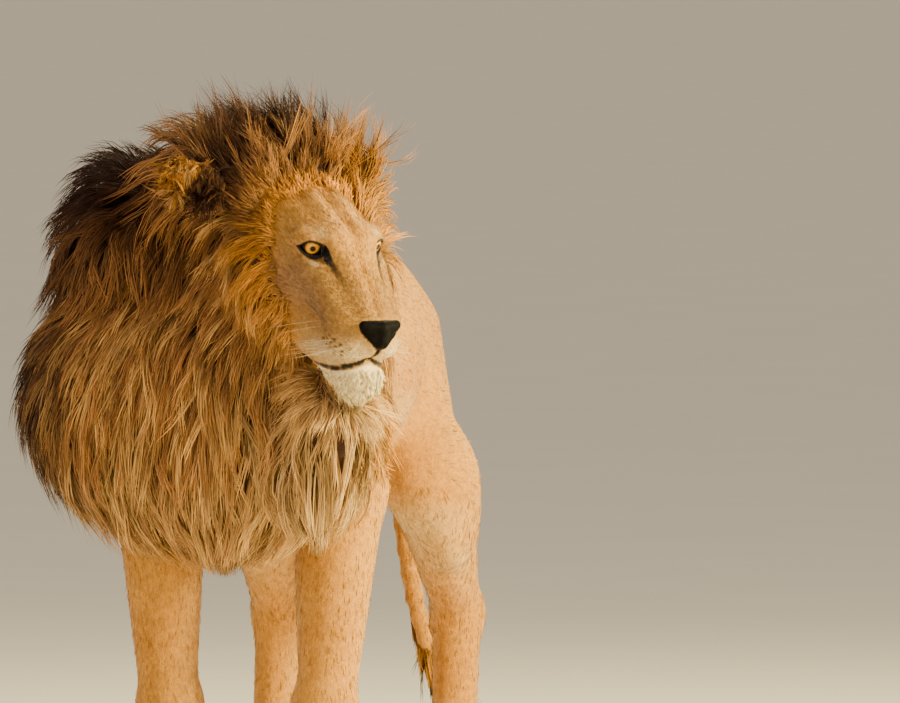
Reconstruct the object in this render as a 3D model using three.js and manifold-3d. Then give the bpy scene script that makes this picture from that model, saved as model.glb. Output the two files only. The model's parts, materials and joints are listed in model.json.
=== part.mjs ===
// An adult male lion standing on level ground, at life size, in millimetres.
// +Z is up, the lion faces -Y and its own left side is +X. The head is turned to the left and tips down.
// The flesh and the mane are smooth blends of named round forms. Each blend is meshed, and the meshes
// are joined and then parted by thin cuts into the pieces that a person would name.
import * as THREE from "three";
import { SimplifyModifier } from "three/addons/modifiers/SimplifyModifier.js";
import { mergeVertices } from "three/addons/utils/BufferGeometryUtils.js";
import Module from "manifold-3d";

const wasm = await Module();
wasm.setup();

// ---- Driving dimensions -------------------------------------------------------------------------

const GAP = 0.3; // left between touching pieces
const FAR = 3000; // reach of a cutting block past the animal
const WITHERS = 1075; // height of the bare shoulders
const CROUP = 960; // height of the rump
const SHOULDER_Y = -400; // the forelegs stand under this
const HIP_Y = 460; // the thighs hang from this
const FORE_STANCE = 132; // from the middle plane to a forepaw
const HIND_STANCE = 150;
const ELBOW = 585;
const WRIST = 235;
const STIFLE = 560;
const HOCK = 325;
const PAW_CUT = 118; // a paw ends here and its leg begins
const LEG_TOP = 575; // a foreleg parts from the breast here
const THIGH_TOP = 592;
const SHANK_TOP = 430;
const FORE_PAW = 150; // width across the toes
const HIND_PAW = 128;
const TOE_LENGTH = 40; // half of a toe, front to back
const CLAW_DROOP = 0.45; // radians below level
const HEEL_BACK = 54; // the long hind foot comes down behind the middle of its paw
const EYES = new THREE.Vector3(256, -814, 1010); // midway between the irises
const HEAD_TURN = THREE.MathUtils.degToRad(45); // to the left of straight ahead
const HEAD_TIP = THREE.MathUtils.degToRad(28); // muzzle down from level
const ATLAS = new THREE.Vector3(84, -642, 1052); // where the neck meets the skull
const EYE_RADIUS = 19;
const TAIL_CUT = 640; // the tail parts from the rump at this Y
const TAIL_ROOT = 27; // radius
const TAIL_TIP = 13;

// The mesh of each form: the cell that it is first made with, and the triangles that are kept of it.
const MESH = {
  head: { cell: 9, triangles: 1880 },
  nose: { cell: 7, triangles: 110 },
  paw: { cell: 11, triangles: 236 },
  leg: { cell: 20, triangles: 170 },
  trunk: { cell: 32, triangles: 740 },
  mane: { cell: 34, triangles: 610 },
};

const COLOUR = {
  coat: "#c39a63",
  face: "#b8905f",
  pale: "#e3d3b4",
  mane: "#7a4a22",
  darkMane: "#33190f",
  goldMane: "#b06a24",
  nose: "#1d1614",
  iris: "#b8822b",
  claw: "#3a2f28",
};

const v = (x, y, z) => new THREE.Vector3(x, y, z);

// ---- Round forms as distance fields -------------------------------------------------------------

const smoothMin = (a, b, k) => {
  const h = Math.max(k - Math.abs(a - b), 0) / k;
  return Math.min(a, b) - (h * h * k) / 4;
};

const smoothMax = (a, b, k) => -smoothMin(-a, -b, k);

// An ellipsoid, tipped by `lean` radians about the X axis.
function ellipsoid(centre, radii, lean = 0) {
  const cos = Math.cos(lean);
  const sin = Math.sin(lean);
  return (p) => {
    const x = p.x - centre.x;
    const dy = p.y - centre.y;
    const dz = p.z - centre.z;
    const y = dy * cos + dz * sin;
    const z = dz * cos - dy * sin;
    const outer = Math.hypot(x / radii.x, y / radii.y, z / radii.z);
    const inner = Math.hypot(x / radii.x ** 2, y / radii.y ** 2, z / radii.z ** 2);
    return inner > 1e-9 ? (outer * (outer - 1)) / inner : -Math.min(radii.x, radii.y, radii.z);
  };
}

// A limb between two points whose radius runs from r0 to r1; `flat` narrows it sideways.
function limb(from, to, r0, r1, flat = 1) {
  const along = to.clone().sub(from);
  const squared = along.lengthSq();
  return (p) => {
    const t = THREE.MathUtils.clamp(p.clone().sub(from).dot(along) / squared, 0, 1);
    const x = (p.x - from.x - along.x * t) / flat;
    return Math.hypot(x, p.y - from.y - along.y * t, p.z - from.z - along.z * t) - (r0 + (r1 - r0) * t);
  };
}

const blend = (k, ...forms) => (p) => forms.reduce((d, form) => smoothMin(d, form(p), k), 1e4);

const mirrored = (field) => (p) => field(v(Math.abs(p.x), p.y, p.z));

// ---- Meshing and joining ------------------------------------------------------------------------

// Newton steps that bring a mesh point onto the surface of its field, within one cell.
function settle(point, field, cell) {
  const start = point.clone();
  const step = cell * 0.05;
  for (let i = 0; i < 2; i += 1) {
    const d = field(point);
    const slope = v(
      field(v(point.x + step, point.y, point.z)) - d,
      field(v(point.x, point.y + step, point.z)) - d,
      field(v(point.x, point.y, point.z + step)) - d,
    ).divideScalar(step);
    if (slope.lengthSq() < 1e-6) return start;
    point.addScaledVector(slope, -d / slope.lengthSq());
  }
  return point.distanceTo(start) < cell ? point : start;
}

// A closed mesh of the surface where the field is zero: one point in each cell that the surface
// crosses, joined across each crossed edge.
async function meshField(field, box, { cell, triangles: kept }) {
  const size = box.getSize(v(0, 0, 0));
  const n = [size.x, size.y, size.z].map((s) => 2 * Math.ceil(s / cell / 2) + 1);
  const centre = box.getCenter(v(0, 0, 0));
  const at = (i, j, k) =>
    v((i - (n[0] - 1) / 2) * cell, (j - (n[1] - 1) / 2) * cell, (k - (n[2] - 1) / 2) * cell).add(centre);
  const slot = (i, j, k) => (k * n[1] + j) * n[0] + i;
  const value = new Float64Array(n[0] * n[1] * n[2]);
  const eachNode = (visit) => {
    for (let k = 0; k < n[2]; k += 1)
      for (let j = 0; j < n[1]; j += 1) for (let i = 0; i < n[0]; i += 1) visit(i, j, k);
  };
  eachNode((i, j, k) => {
    value[slot(i, j, k)] = field(at(i, j, k));
  });
  const corners = [0, 1, 2, 3, 4, 5, 6, 7].map((c) => [c & 1, (c >> 1) & 1, (c >> 2) & 1]);
  const cellEdges = corners.flatMap((a, i) =>
    corners.slice(i + 1).filter((b) => a.filter((s, axis) => s !== b[axis]).length === 1).map((b) => [a, b]));
  const points = [];
  const pointOf = new Map();
  eachNode((i, j, k) => {
    if (i + 1 >= n[0] || j + 1 >= n[1] || k + 1 >= n[2]) return;
    const sum = v(0, 0, 0);
    let crossings = 0;
    for (const [a, b] of cellEdges) {
      const da = value[slot(i + a[0], j + a[1], k + a[2])];
      const db = value[slot(i + b[0], j + b[1], k + b[2])];
      if (da < 0 === db < 0) continue;
      sum.add(at(i + a[0], j + a[1], k + a[2]).lerp(at(i + b[0], j + b[1], k + b[2]), da / (da - db)));
      crossings += 1;
    }
    if (!crossings) return;
    pointOf.set(slot(i, j, k), points.length);
    points.push(settle(sum.divideScalar(crossings), field, cell));
  });
  const triangles = [];
  const quad = (ring, outward) => {
    const [a, b, c, d] = outward ? ring : [...ring].reverse();
    const shortAC = points[a].distanceTo(points[c]) <= points[b].distanceTo(points[d]);
    triangles.push(...(shortAC ? [a, b, c, a, c, d] : [b, c, d, b, d, a]));
  };
  eachNode((i, j, k) => {
    const here = value[slot(i, j, k)] < 0;
    [[1, 0, 0], [0, 1, 0], [0, 0, 1]].forEach((step, axis) => {
      const [a, b, c] = [i + step[0], j + step[1], k + step[2]];
      if (a >= n[0] || b >= n[1] || c >= n[2] || here === value[slot(a, b, c)] < 0) return;
      const around = [[0, 0], [-1, 0], [-1, -1], [0, -1]].map(([s, t]) => {
        const shift = [[0, s, t], [t, 0, s], [s, t, 0]][axis];
        return pointOf.get(slot(i + shift[0], j + shift[1], k + shift[2]));
      });
      quad(around, here);
    });
  });
  const full = new THREE.BufferGeometry().setFromPoints(points).setIndex(triangles);
  const drop = Math.max(0, Math.round(points.length * (1 - (kept * 3) / triangles.length)));
  return solidFrom(await new SimplifyModifier().modify(full, drop));
}

function solidOf(points, triangles) {
  return new wasm.Manifold(new wasm.Mesh({
    numProp: 3,
    vertProperties: new Float32Array(points.flatMap((p) => [p.x, p.y, p.z])),
    triVerts: new Uint32Array(triangles),
  }));
}

// A solid from one of three's own closed geometries.
function solidFrom(geometry) {
  const bare = geometry.clone();
  bare.deleteAttribute("normal");
  bare.deleteAttribute("uv");
  const merged = mergeVertices(bare, 1e-3);
  const used = [];
  const index = merged.index.array;
  for (let i = 0; i < index.length; i += 3) {
    const [a, b, c] = [index[i], index[i + 1], index[i + 2]];
    if (a !== b && b !== c && c !== a) used.push(a, b, c);
  }
  const position = merged.attributes.position;
  const points = [];
  for (let i = 0; i < position.count; i += 1) points.push(v(0, 0, 0).fromBufferAttribute(position, i));
  return solidOf(points, used);
}

// A closed tapering tube: rings of `sides` points round a curve, with a flat end at each end.
function taperedTube(curve, t0, t1, radiusAt, steps, sides) {
  const points = [];
  const triangles = [];
  for (let s = 0; s <= steps; s += 1) {
    const t = t0 + ((t1 - t0) * s) / steps;
    const tangent = curve.getTangentAt(t);
    const across = v(1, 0, 0).cross(tangent).normalize();
    const side = tangent.clone().cross(across).normalize();
    for (let i = 0; i < sides; i += 1) {
      const turn = (2 * Math.PI * i) / sides;
      points.push(curve.getPointAt(t)
        .addScaledVector(across, Math.cos(turn) * radiusAt(t))
        .addScaledVector(side, Math.sin(turn) * radiusAt(t)));
    }
  }
  const ends = [points.length, points.length + 1];
  points.push(curve.getPointAt(t0), curve.getPointAt(t1));
  for (let i = 0; i < sides; i += 1) {
    const next = (i + 1) % sides;
    const last = steps * sides;
    triangles.push(ends[0], next, i, ends[1], last + i, last + next);
    for (let s = 0; s < steps; s += 1) {
      const [a, b] = [s * sides + i, s * sides + next];
      triangles.push(a, b, b + sides, a, b + sides, a + sides);
    }
  }
  return solidOf(points, triangles);
}

// The block on the far side of a plane: everything past `point` along `normal`.
function blockPast(point, normal) {
  const block = new THREE.BoxGeometry(FAR, FAR, FAR);
  const turn = new THREE.Quaternion().setFromUnitVectors(v(0, 0, 1), normal.clone().normalize());
  const middle = point.clone().addScaledVector(normal.clone().normalize(), FAR / 2);
  block.applyMatrix4(new THREE.Matrix4().compose(middle, turn, v(1, 1, 1)));
  return solidFrom(block);
}

// Parts a solid at a plane: [the side that the normal points away from, the side it points to].
function partAt(solid, point, normal) {
  const half = normal.clone().normalize().multiplyScalar(GAP / 2);
  const near = solid.subtract(blockPast(point.clone().sub(half), normal));
  const far = solid.intersect(blockPast(point.clone().add(half), normal));
  return [near, far];
}

function boxSolid(low, high, grow = 0) {
  const size = high.clone().sub(low).addScalar(2 * grow);
  const box = new THREE.BoxGeometry(size.x, size.y, size.z);
  box.translate((low.x + high.x) / 2, (low.y + high.y) / 2, (low.z + high.z) / 2);
  return solidFrom(box);
}

// Takes the part of `solid` inside a box out of it: [the part inside, the rest].
function boxedOut(solid, low, high) {
  return [solid.intersect(boxSolid(low, high, -GAP / 2)), solid.subtract(boxSolid(low, high, GAP / 2))];
}

function moved(solid, matrix) {
  return solid.transform(Array.from(matrix.elements));
}

// The same solid a little larger about a point inside it, for the seat that it lies in.
function grown(solid, about, factor) {
  const scale = new THREE.Matrix4().makeTranslation(about.x, about.y, about.z)
    .multiply(new THREE.Matrix4().makeScale(factor, factor, factor))
    .multiply(new THREE.Matrix4().makeTranslation(-about.x, -about.y, -about.z));
  return moved(solid, scale);
}

// ---- Head, in its own frame: X to the lion's right, Y along the muzzle, Z up, eyes at the origin ---

const headFrame = (() => {
  const level = v(Math.sin(HEAD_TURN), -Math.cos(HEAD_TURN), 0);
  const forward = level.clone().multiplyScalar(Math.cos(HEAD_TIP)).add(v(0, 0, -Math.sin(HEAD_TIP)));
  const right = level.clone().cross(v(0, 0, 1)).normalize();
  return new THREE.Matrix4().makeBasis(right, forward, right.clone().cross(forward)).setPosition(EYES);
})();

const onHead = (x, y, z) => v(x, y, z).applyMatrix4(headFrame);
const RUFF_EDGE = v(0, 0.86, 0.51).transformDirection(headFrame); // square to the slant of the ruff
const HAIRLINE = v(0, -124, 44); // the face meets the mane here, on the forehead,
const THROAT = v(0, 12, -178); // here, at the throat,
const BEARD = v(0, 150, -202); // and here, under the chin
const EYE_PLACE = v(55, -15, -1); // centre of the right eyeball
// The right ear stands out to the side and the left one is laid back.
const EAR_TIPS = { ear_right: v(246, -236, 27), ear_left: v(150, -232, 22) };
const MOUTH_CORNER = { y: 66, z: -172 };
const MOUTH_FRONT = { y: 200, z: -98 }; // the line of the mouth, carried on past the lips
const JAW_BACK = -40;

function headField() {
  const skull = blend(34,
    ellipsoid(v(0, -108, -24), v(88, 104, 70)), // braincase
    ellipsoid(v(0, -34, -10), v(66, 70, 46)), // forehead
    ellipsoid(v(0, -158, -44), v(80, 62, 74)), // back of the skull
    ellipsoid(v(56, -52, -64), v(56, 78, 56)), // cheekbone
    ellipsoid(v(52, -60, -108), v(50, 66, 50)), // jaw muscle
    ellipsoid(v(0, -20, -112), v(62, 104, 48)), // throat
  );
  const muzzle = blend(18,
    limb(v(13, 0, -4), v(11, 128, -68), 35, 26), // bridge of the nose
    limb(v(42, 16, -42), v(37, 98, -76), 38, 32), // upper jaw
    ellipsoid(v(27, 116, -98), v(37, 43, 38)), // whisker pad
    ellipsoid(v(0, 142, -88), v(26, 27, 30)), // middle of the upper lip
    limb(v(48, 10, -132), v(20, 114, -154), 37, 29), // lower jaw
    ellipsoid(v(0, 134, -166), v(38, 34, 40)), // chin
  );
  const brow = limb(v(30, 0, 12), v(68, -26, 7), 20, 14);
  const socket = ellipsoid(v(60, 8, -1), v(25, 22, 15));
  return mirrored((p) => smoothMax(blend(24, skull, muzzle, brow)(p), -socket(p), 10));
}

function earSolid(side, reach) {
  const outer = solidFrom(new THREE.SphereGeometry(1, 10, 8));
  const hollow = solidFrom(new THREE.SphereGeometry(1, 8, 6));
  const root = v(side * 112, -150, 0);
  const tip = v(side * reach.x, reach.y, reach.z);
  const along = tip.clone().sub(root).normalize();
  const ahead = v(side * 0.35, 1, 0.1);
  const facing = ahead.addScaledVector(along, -ahead.dot(along)).normalize();
  const across = along.clone().cross(facing);
  const place = (centre, size) =>
    new THREE.Matrix4().makeBasis(across, facing, along).scale(size).setPosition(centre);
  const middle = root.clone().lerp(tip, 0.5);
  const cupMiddle = middle.clone().addScaledVector(facing, 18).addScaledVector(along, 7);
  const shell = moved(outer, place(middle, v(34, 26, 48)));
  const cup = moved(hollow, place(cupMiddle, v(25, 24, 36)));
  return { ear: shell.subtract(cup), seat: grown(shell, middle, 1.02) };
}

// The wedge of space that the bare face fills: in front of the mane and above the beard.
function faceRoom(grow) {
  const ahead = v(0, HAIRLINE.z - THROAT.z, THROAT.y - HAIRLINE.y).normalize();
  const above = v(0, THROAT.z - BEARD.z, BEARD.y - THROAT.y).normalize();
  const front = blockPast(THROAT.clone().addScaledVector(ahead, -grow), ahead);
  return front.intersect(blockPast(THROAT.clone().addScaledVector(above, -grow), above));
}

// Everything under the line of the mouth and in front of the back of the jaw.
function jawBlock(lift) {
  const outline = new THREE.Shape([
    new THREE.Vector2(MOUTH_CORNER.y, MOUTH_CORNER.z + lift),
    new THREE.Vector2(MOUTH_FRONT.y, MOUTH_FRONT.z + lift),
    new THREE.Vector2(MOUTH_FRONT.y, -FAR),
    new THREE.Vector2(JAW_BACK - lift, -FAR),
    new THREE.Vector2(JAW_BACK - lift, MOUTH_CORNER.z + lift),
  ]);
  const block = new THREE.ExtrudeGeometry(outline, { depth: FAR, bevelEnabled: false });
  block.applyMatrix4(new THREE.Matrix4().makeBasis(v(0, 1, 0), v(0, 0, 1), v(1, 0, 0)));
  block.translate(-FAR / 2, 0, 0);
  return solidFrom(block);
}

function eyeball(side, radius) {
  const ball = new THREE.SphereGeometry(radius, 12, 8);
  ball.translate(side * EYE_PLACE.x, EYE_PLACE.y, EYE_PLACE.z);
  return solidFrom(ball);
}

async function buildHead() {
  const reach = new THREE.Box3(v(-168, -250, -224), v(168, 198, 84));
  const whole = await meshField(headField(), reach, MESH.head);
  let flesh = whole.intersect(faceRoom(-GAP / 2));
  const skull = whole.subtract(faceRoom(GAP / 2));
  const pieces = {};
  const nose = await meshField(mirrored(blend(7,
    limb(v(0, 156, -61), v(30, 149, -58), 14, 8),
    limb(v(23, 153, -66), v(4, 166, -82), 9, 8),
    ellipsoid(v(0, 160, -76), v(11, 14, 17)),
  )), new THREE.Box3(v(-50, 118, -108), v(50, 192, -30)), MESH.nose);
  flesh = flesh.subtract(grown(nose, v(0, 150, -68), 1.02));
  pieces.nose_pad = nose;
  for (const [name, side] of [["eye_right", 1], ["eye_left", -1]]) {
    flesh = flesh.subtract(eyeball(side, EYE_RADIUS + 2 * GAP));
    pieces[name] = eyeball(side, EYE_RADIUS);
  }
  const seats = [];
  for (const [name, side] of [["ear_right", 1], ["ear_left", -1]]) {
    const { ear, seat } = earSolid(side, EAR_TIPS[name]);
    seats.push(moved(seat, headFrame));
    pieces[name] = ear;
  }
  pieces.lower_jaw = flesh.intersect(jawBlock(0));
  pieces.head = flesh.subtract(jawBlock(GAP));
  for (const name of Object.keys(pieces)) pieces[name] = moved(pieces[name], headFrame);
  return { pieces, seats, skull: moved(skull, headFrame), room: moved(faceRoom(GAP / 2), headFrame) };
}

// ---- Trunk, neck and legs -----------------------------------------------------------------------

const trunkForm = (() => {
  const side = mirrored(blend(60,
    ellipsoid(v(120, -390, 850), v(92, 120, 225), -0.3), // shoulder blade
    limb(v(158, SHOULDER_Y - 70, 735), v(150, SHOULDER_Y + 30, ELBOW + 10), 92, 76), // upper arm
    limb(v(58, HIP_Y + 10, CROUP - 172), v(134, HIP_Y - 120, STIFLE + 20), 88, 86, 0.86), // thigh
    limb(v(56, HIP_Y + 110, CROUP - 168), v(132, HIP_Y + 50, STIFLE - 60), 80, 62, 0.8), // back of the thigh
    ellipsoid(v(172, HIP_Y - 70, STIFLE - 34), v(50, 82, 112)), // stifle
  ));
  return blend(70,
    ellipsoid(v(0, -230, 805), v(200, 340, 255)), // rib cage
    ellipsoid(v(0, -340, WITHERS - 120), v(92, 170, 120)), // withers
    ellipsoid(v(0, -470, 740), v(160, 130, 190)), // breast
    ellipsoid(v(0, 120, 785), v(178, 340, 192)), // belly and loin
    ellipsoid(v(0, 420, CROUP - 150), v(86, 210, 150)), // croup
    limb(v(0, 540, CROUP - 80), v(0, 655, CROUP - 102), 60, 34), // tail head
    side,
  );
})();

const neckForm = blend(60,
  limb(v(0, -400, 890), ATLAS, 190, 118),
  ellipsoid(ATLAS, v(120, 130, 118)),
);

function forelegField(side, y) {
  const x = side * FORE_STANCE;
  return blend(30,
    limb(v(side * 150, SHOULDER_Y + 30, ELBOW + 10), v(x + side * 4, y, WRIST), 80, 48), // forearm
    limb(v(side * 152, SHOULDER_Y + 52, ELBOW + 18), v(side * 150, SHOULDER_Y + 42, ELBOW - 30), 50, 40),
    ellipsoid(v(x, y - 4, WRIST - 4), v(52, 52, 60)), // wrist
    limb(v(x, y, WRIST), v(x, y - 22, 80), 47, 50), // pastern
  );
}

function hindlegField(side, y) {
  const x = side * HIND_STANCE;
  return blend(30,
    limb(v(side * 148, HIP_Y - 100, STIFLE), v(x, y + 62, HOCK + 6), 88, 46, 0.86), // shank
    limb(v(side * 138, HIP_Y + 20, STIFLE + 10), v(x, y + 70, HOCK + 10), 76, 34, 0.8), // calf
    ellipsoid(v(x, y + 76, HOCK + 12), v(37, 44, 46)), // point of the hock
    limb(v(x, y + 64, HOCK), v(x, y + 34, 84), 43, 41), // long foot
  );
}

// Centres of the four toes of a paw, side by side, the middle pair longest.
const toeCentres = (x, y, width) => [[-1.5, 74], [-0.5, 92], [0.5, 92], [1.5, 74]].map(([step, reach]) =>
  v(x + step * width * 0.245, y - reach, 30));

function pawField(x, y, width, heel) {
  const toes = toeCentres(x, y, width).map((toe) => blend(14,
    ellipsoid(toe, v(width * 0.155, TOE_LENGTH, 34)),
    limb(v(toe.x, toe.y + 8, 38), v(toe.x, y - 20, 58), 19, 24),
  ));
  return blend(16,
    ellipsoid(v(x, y - 30, 40), v(width * 0.44, 66, 48)),
    limb(v(x, y - 12 + heel, 70), v(x, y - 17 + heel, 170), width * 0.32, width * 0.32),
    ...toes,
  );
}

// Cuts the soles flat at the floor.
const onFloor = (solid) => solid.subtract(blockPast(v(0, 0, 0), v(0, 0, -1)));

// A claw, mostly drawn in: only a short dark point shows at the front of its toe.
function clawSolid(middle) {
  const claw = new THREE.ConeGeometry(4.5, 26, 5);
  claw.rotateX(-Math.PI / 2 - CLAW_DROOP);
  claw.translate(middle.x, middle.y, middle.z);
  return solidFrom(claw);
}

async function buildPaw(x, y, width, heel) {
  const reach = new THREE.Box3(v(x - width, y - 180, -60), v(x + width, y + 90, 230));
  let paw = onFloor(await meshField(pawField(x, y, width, heel), reach, MESH.paw));
  [paw] = partAt(paw, v(0, 0, PAW_CUT), v(0, 0, 1));
  const claws = toeCentres(x, y, width).map((toe) => {
    const middle = v(toe.x, toe.y - TOE_LENGTH + 6, toe.z + 3);
    const claw = clawSolid(middle);
    paw = paw.subtract(grown(claw, middle, 1.12));
    return claw;
  });
  return { paw, claws };
}

// ---- Mane ---------------------------------------------------------------------------------------

function maneField() {
  return blend(60,
    ellipsoid(v(-128, -500, 1008), v(150, 210, 148)), // hump of the nape, thrown to the right
    ellipsoid(v(-186, -500, 1030), v(84, 180, 118)), // edge of the hump
    ellipsoid(v(-200, -500, 955), v(96, 180, 110)), // hair hanging below the hump
    ellipsoid(v(-112, -530, 750), v(240, 225, 238)), // right side of the neck
    ellipsoid(v(62, -505, 835), v(198, 238, 262)), // left side of the neck
    ellipsoid(v(44, -490, 985), v(152, 205, 158)), // top of the neck
    limb(v(-14, -676, 1132), v(184, -710, 1108), 120, 108), // crown
    ellipsoid(v(232, -612, 1060), v(64, 86, 76)), // hair under the left ear
    ellipsoid(v(10, -640, 720), v(190, 120, 190)), // breast
    ellipsoid(v(0, -520, 590), v(120, 130, 100)), // between the forelegs
    ellipsoid(onHead(0, -95, -50), v(150, 150, 190)), // ruff behind the cheeks
    limb(onHead(0, -20, -140), onHead(0, 84, -236), 110, 62), // beard
    limb(v(252, -790, 770), v(186, -700, 640), 84, 104), // throat, hanging below the beard
  );
}

// ---- Tail ---------------------------------------------------------------------------------------

const tailCurve = new THREE.CatmullRomCurve3([
  v(0, TAIL_CUT - 34, CROUP - 92), v(0, 696, CROUP - 120), v(4, 738, CROUP - 215), v(10, 744, 590),
  v(20, 744, 450), v(36, 760, 325), v(58, 800, 220), v(80, 850, 160),
]);
const TUFT_START = 0.73;
const ROOT_END = 0.38;

function tailRadius(t) {
  if (t < TUFT_START) return THREE.MathUtils.lerp(TAIL_ROOT, TAIL_TIP, t / TUFT_START) + 6;
  const s = (t - TUFT_START) / (1 - TUFT_START);
  return 19 + 26 * Math.sin(Math.PI * Math.min(0.5, s)) - 36 * Math.max(0, s - 0.5);
}

function buildTail() {
  const skip = GAP / tailCurve.getLength();
  const root = taperedTube(tailCurve, 0, ROOT_END, tailRadius, 6, 8);
  return {
    tail_root: partAt(root, v(0, TAIL_CUT, 0), v(0, 1, 0))[1],
    tail_middle: taperedTube(tailCurve, ROOT_END + skip, TUFT_START, tailRadius, 5, 8),
    tail_tuft: taperedTube(tailCurve, TUFT_START + skip, 1, tailRadius, 6, 8),
  };
}

// ---- The whole lion, parted into named pieces -----------------------------------------------------

const LEGS = [
  { name: "left", side: 1, foreY: SHOULDER_Y - 10, hindY: HIP_Y + 30 },
  { name: "right", side: -1, foreY: SHOULDER_Y + 30, hindY: HIP_Y - 10 },
];

async function buildBody({ seats, skull, room }) {
  const trunkAndNeck = (p) => smoothMin(trunkForm(p), neckForm(p), 70);
  const trunkBox = new THREE.Box3(v(-340, -800, 400), v(340, 760, 1220));
  const maneBox = new THREE.Box3(v(-450, -1080, 380), v(560, -160, 1340));
  let body = await meshField(trunkAndNeck, trunkBox, MESH.trunk);
  body = body.add(await meshField(maneField(), maneBox, MESH.mane));
  for (const { side, foreY, hindY } of LEGS) {
    const [low, high] = side > 0 ? [-20, 330] : [-330, 20];
    const foreBox = new THREE.Box3(v(low, -620, -20), v(high, -220, 760));
    const hindBox = new THREE.Box3(v(low, 200, -20), v(high, 740, 780));
    body = body.add(await meshField(forelegField(side, foreY), foreBox, MESH.leg));
    body = body.add(await meshField(hindlegField(side, hindY), hindBox, MESH.leg));
  }
  body = body.subtract(room).add(skull);
  for (const seat of seats) body = body.subtract(seat);
  return body;
}

// Takes the legs off the body at the elbow and the groin, and each leg off its paw.
async function partLegs(body, pieces) {
  let rest = body;
  for (const { name, side, foreY, hindY } of LEGS) {
    const [low, high] = side > 0 ? [48, 330] : [-330, -48];
    const inward = side > 0 ? [6, 330] : [-330, -6];
    let hindLeg;
    [pieces[`foreleg_${name}`], rest] = boxedOut(rest, v(low, -545, PAW_CUT), v(high, -250, LEG_TOP));
    [hindLeg, rest] = boxedOut(rest, v(inward[0], 180, PAW_CUT), v(inward[1], 720, THIGH_TOP));
    [pieces[`hock_${name}`], pieces[`thigh_${name}`]] = partAt(hindLeg, v(0, 0, SHANK_TOP), v(0, 0, 1));
    const fore = await buildPaw(side * FORE_STANCE, foreY, FORE_PAW, 0);
    const hind = await buildPaw(side * HIND_STANCE, hindY, HIND_PAW, HEEL_BACK);
    pieces[`forepaw_${name}`] = fore.paw;
    pieces[`hindpaw_${name}`] = hind.paw;
    fore.claws.forEach((claw, i) => { pieces[`fore_claw_${name}_${i + 1}`] = claw; });
    hind.claws.forEach((claw, i) => { pieces[`hind_claw_${name}_${i + 1}`] = claw; });
  }
  return partAt(rest, v(0, 0, WRIST), v(0, 0, 1))[1]; // the leg ends inside the paws go
}

async function buildLion() {
  const head = await buildHead();
  const { pieces } = head;
  let body = await partLegs(await buildBody(head), pieces);
  Object.assign(pieces, buildTail());
  body = body.subtract(boxSolid(v(-90, TAIL_CUT - GAP, CROUP - 220), v(90, FAR, FAR)));
  [body, pieces.hindquarters] = partAt(body, v(0, 250, 0), v(0, 1, 0));
  [body, pieces.barrel] = partAt(body, v(0, -70, 0), v(0, 1, 0));
  [body, pieces.forequarters] = partAt(body, v(0, -330, WITHERS), v(0, 1, 0.22));
  [pieces.breast, body] = partAt(body, v(0, -600, 760), v(0, 0, 1));
  [pieces.neck, pieces.ruff] = partAt(body, onHead(0, -235, 0), RUFF_EDGE);
  return pieces;
}

const tone = (color, roughness = 0.85) => new THREE.MeshStandardMaterial({ color, roughness, metalness: 0 });

function meshOf(name, solid, material) {
  const { vertProperties, triVerts, numProp } = solid.getMesh();
  const geometry = new THREE.BufferGeometry();
  const positions = new Float32Array((vertProperties.length / numProp) * 3);
  for (let i = 0; i < positions.length / 3; i += 1)
    positions.set(vertProperties.subarray(i * numProp, i * numProp + 3), i * 3);
  geometry.setAttribute("position", new THREE.BufferAttribute(positions, 3));
  geometry.setIndex(new THREE.BufferAttribute(triVerts, 1));
  const mesh = new THREE.Mesh(geometry, material);
  mesh.name = name;
  return mesh;
}

// Material of each piece, by the first word that its name starts with.
const FINISH = [
  ["nose", tone(COLOUR.nose, 0.45)],
  ["eye", tone(COLOUR.iris, 0.1)],
  ["ear", tone(COLOUR.pale)],
  ["lower_jaw", tone(COLOUR.pale)],
  ["head", tone(COLOUR.face)],
  ["ruff", tone(COLOUR.goldMane)],
  ["neck", tone(COLOUR.darkMane)],
  ["breast", tone(COLOUR.mane)],
  ["tail_tuft", tone(COLOUR.darkMane)],
  ["fore_claw", tone(COLOUR.claw, 0.5)],
  ["hind_claw", tone(COLOUR.claw, 0.5)],
  ["", tone(COLOUR.coat)],
];

const lion = new THREE.Group();
for (const [name, solid] of Object.entries(await buildLion()))
  lion.add(meshOf(name, solid, FINISH.find(([start]) => name.startsWith(start))[1]));

// The middle of the footprint of its bounding box stands on the origin.
const middle = new THREE.Box3().setFromObject(lion).getCenter(v(0, 0, 0));
lion.position.set(-middle.x, -middle.y, 0);

export default lion;
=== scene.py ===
"""A standing adult male lion at life size: one skin, eyes, nose, claws, whiskers and a meshed coat.

Lengths in the classes are millimetres in the lion's own layout (it faces -Y, +Z is up, its left is +X);
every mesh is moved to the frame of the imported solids, in metres, when it is made.
"""

import json
import logging
import math
from collections.abc import Callable, Sequence
from dataclasses import dataclass, field
from enum import Enum

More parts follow.
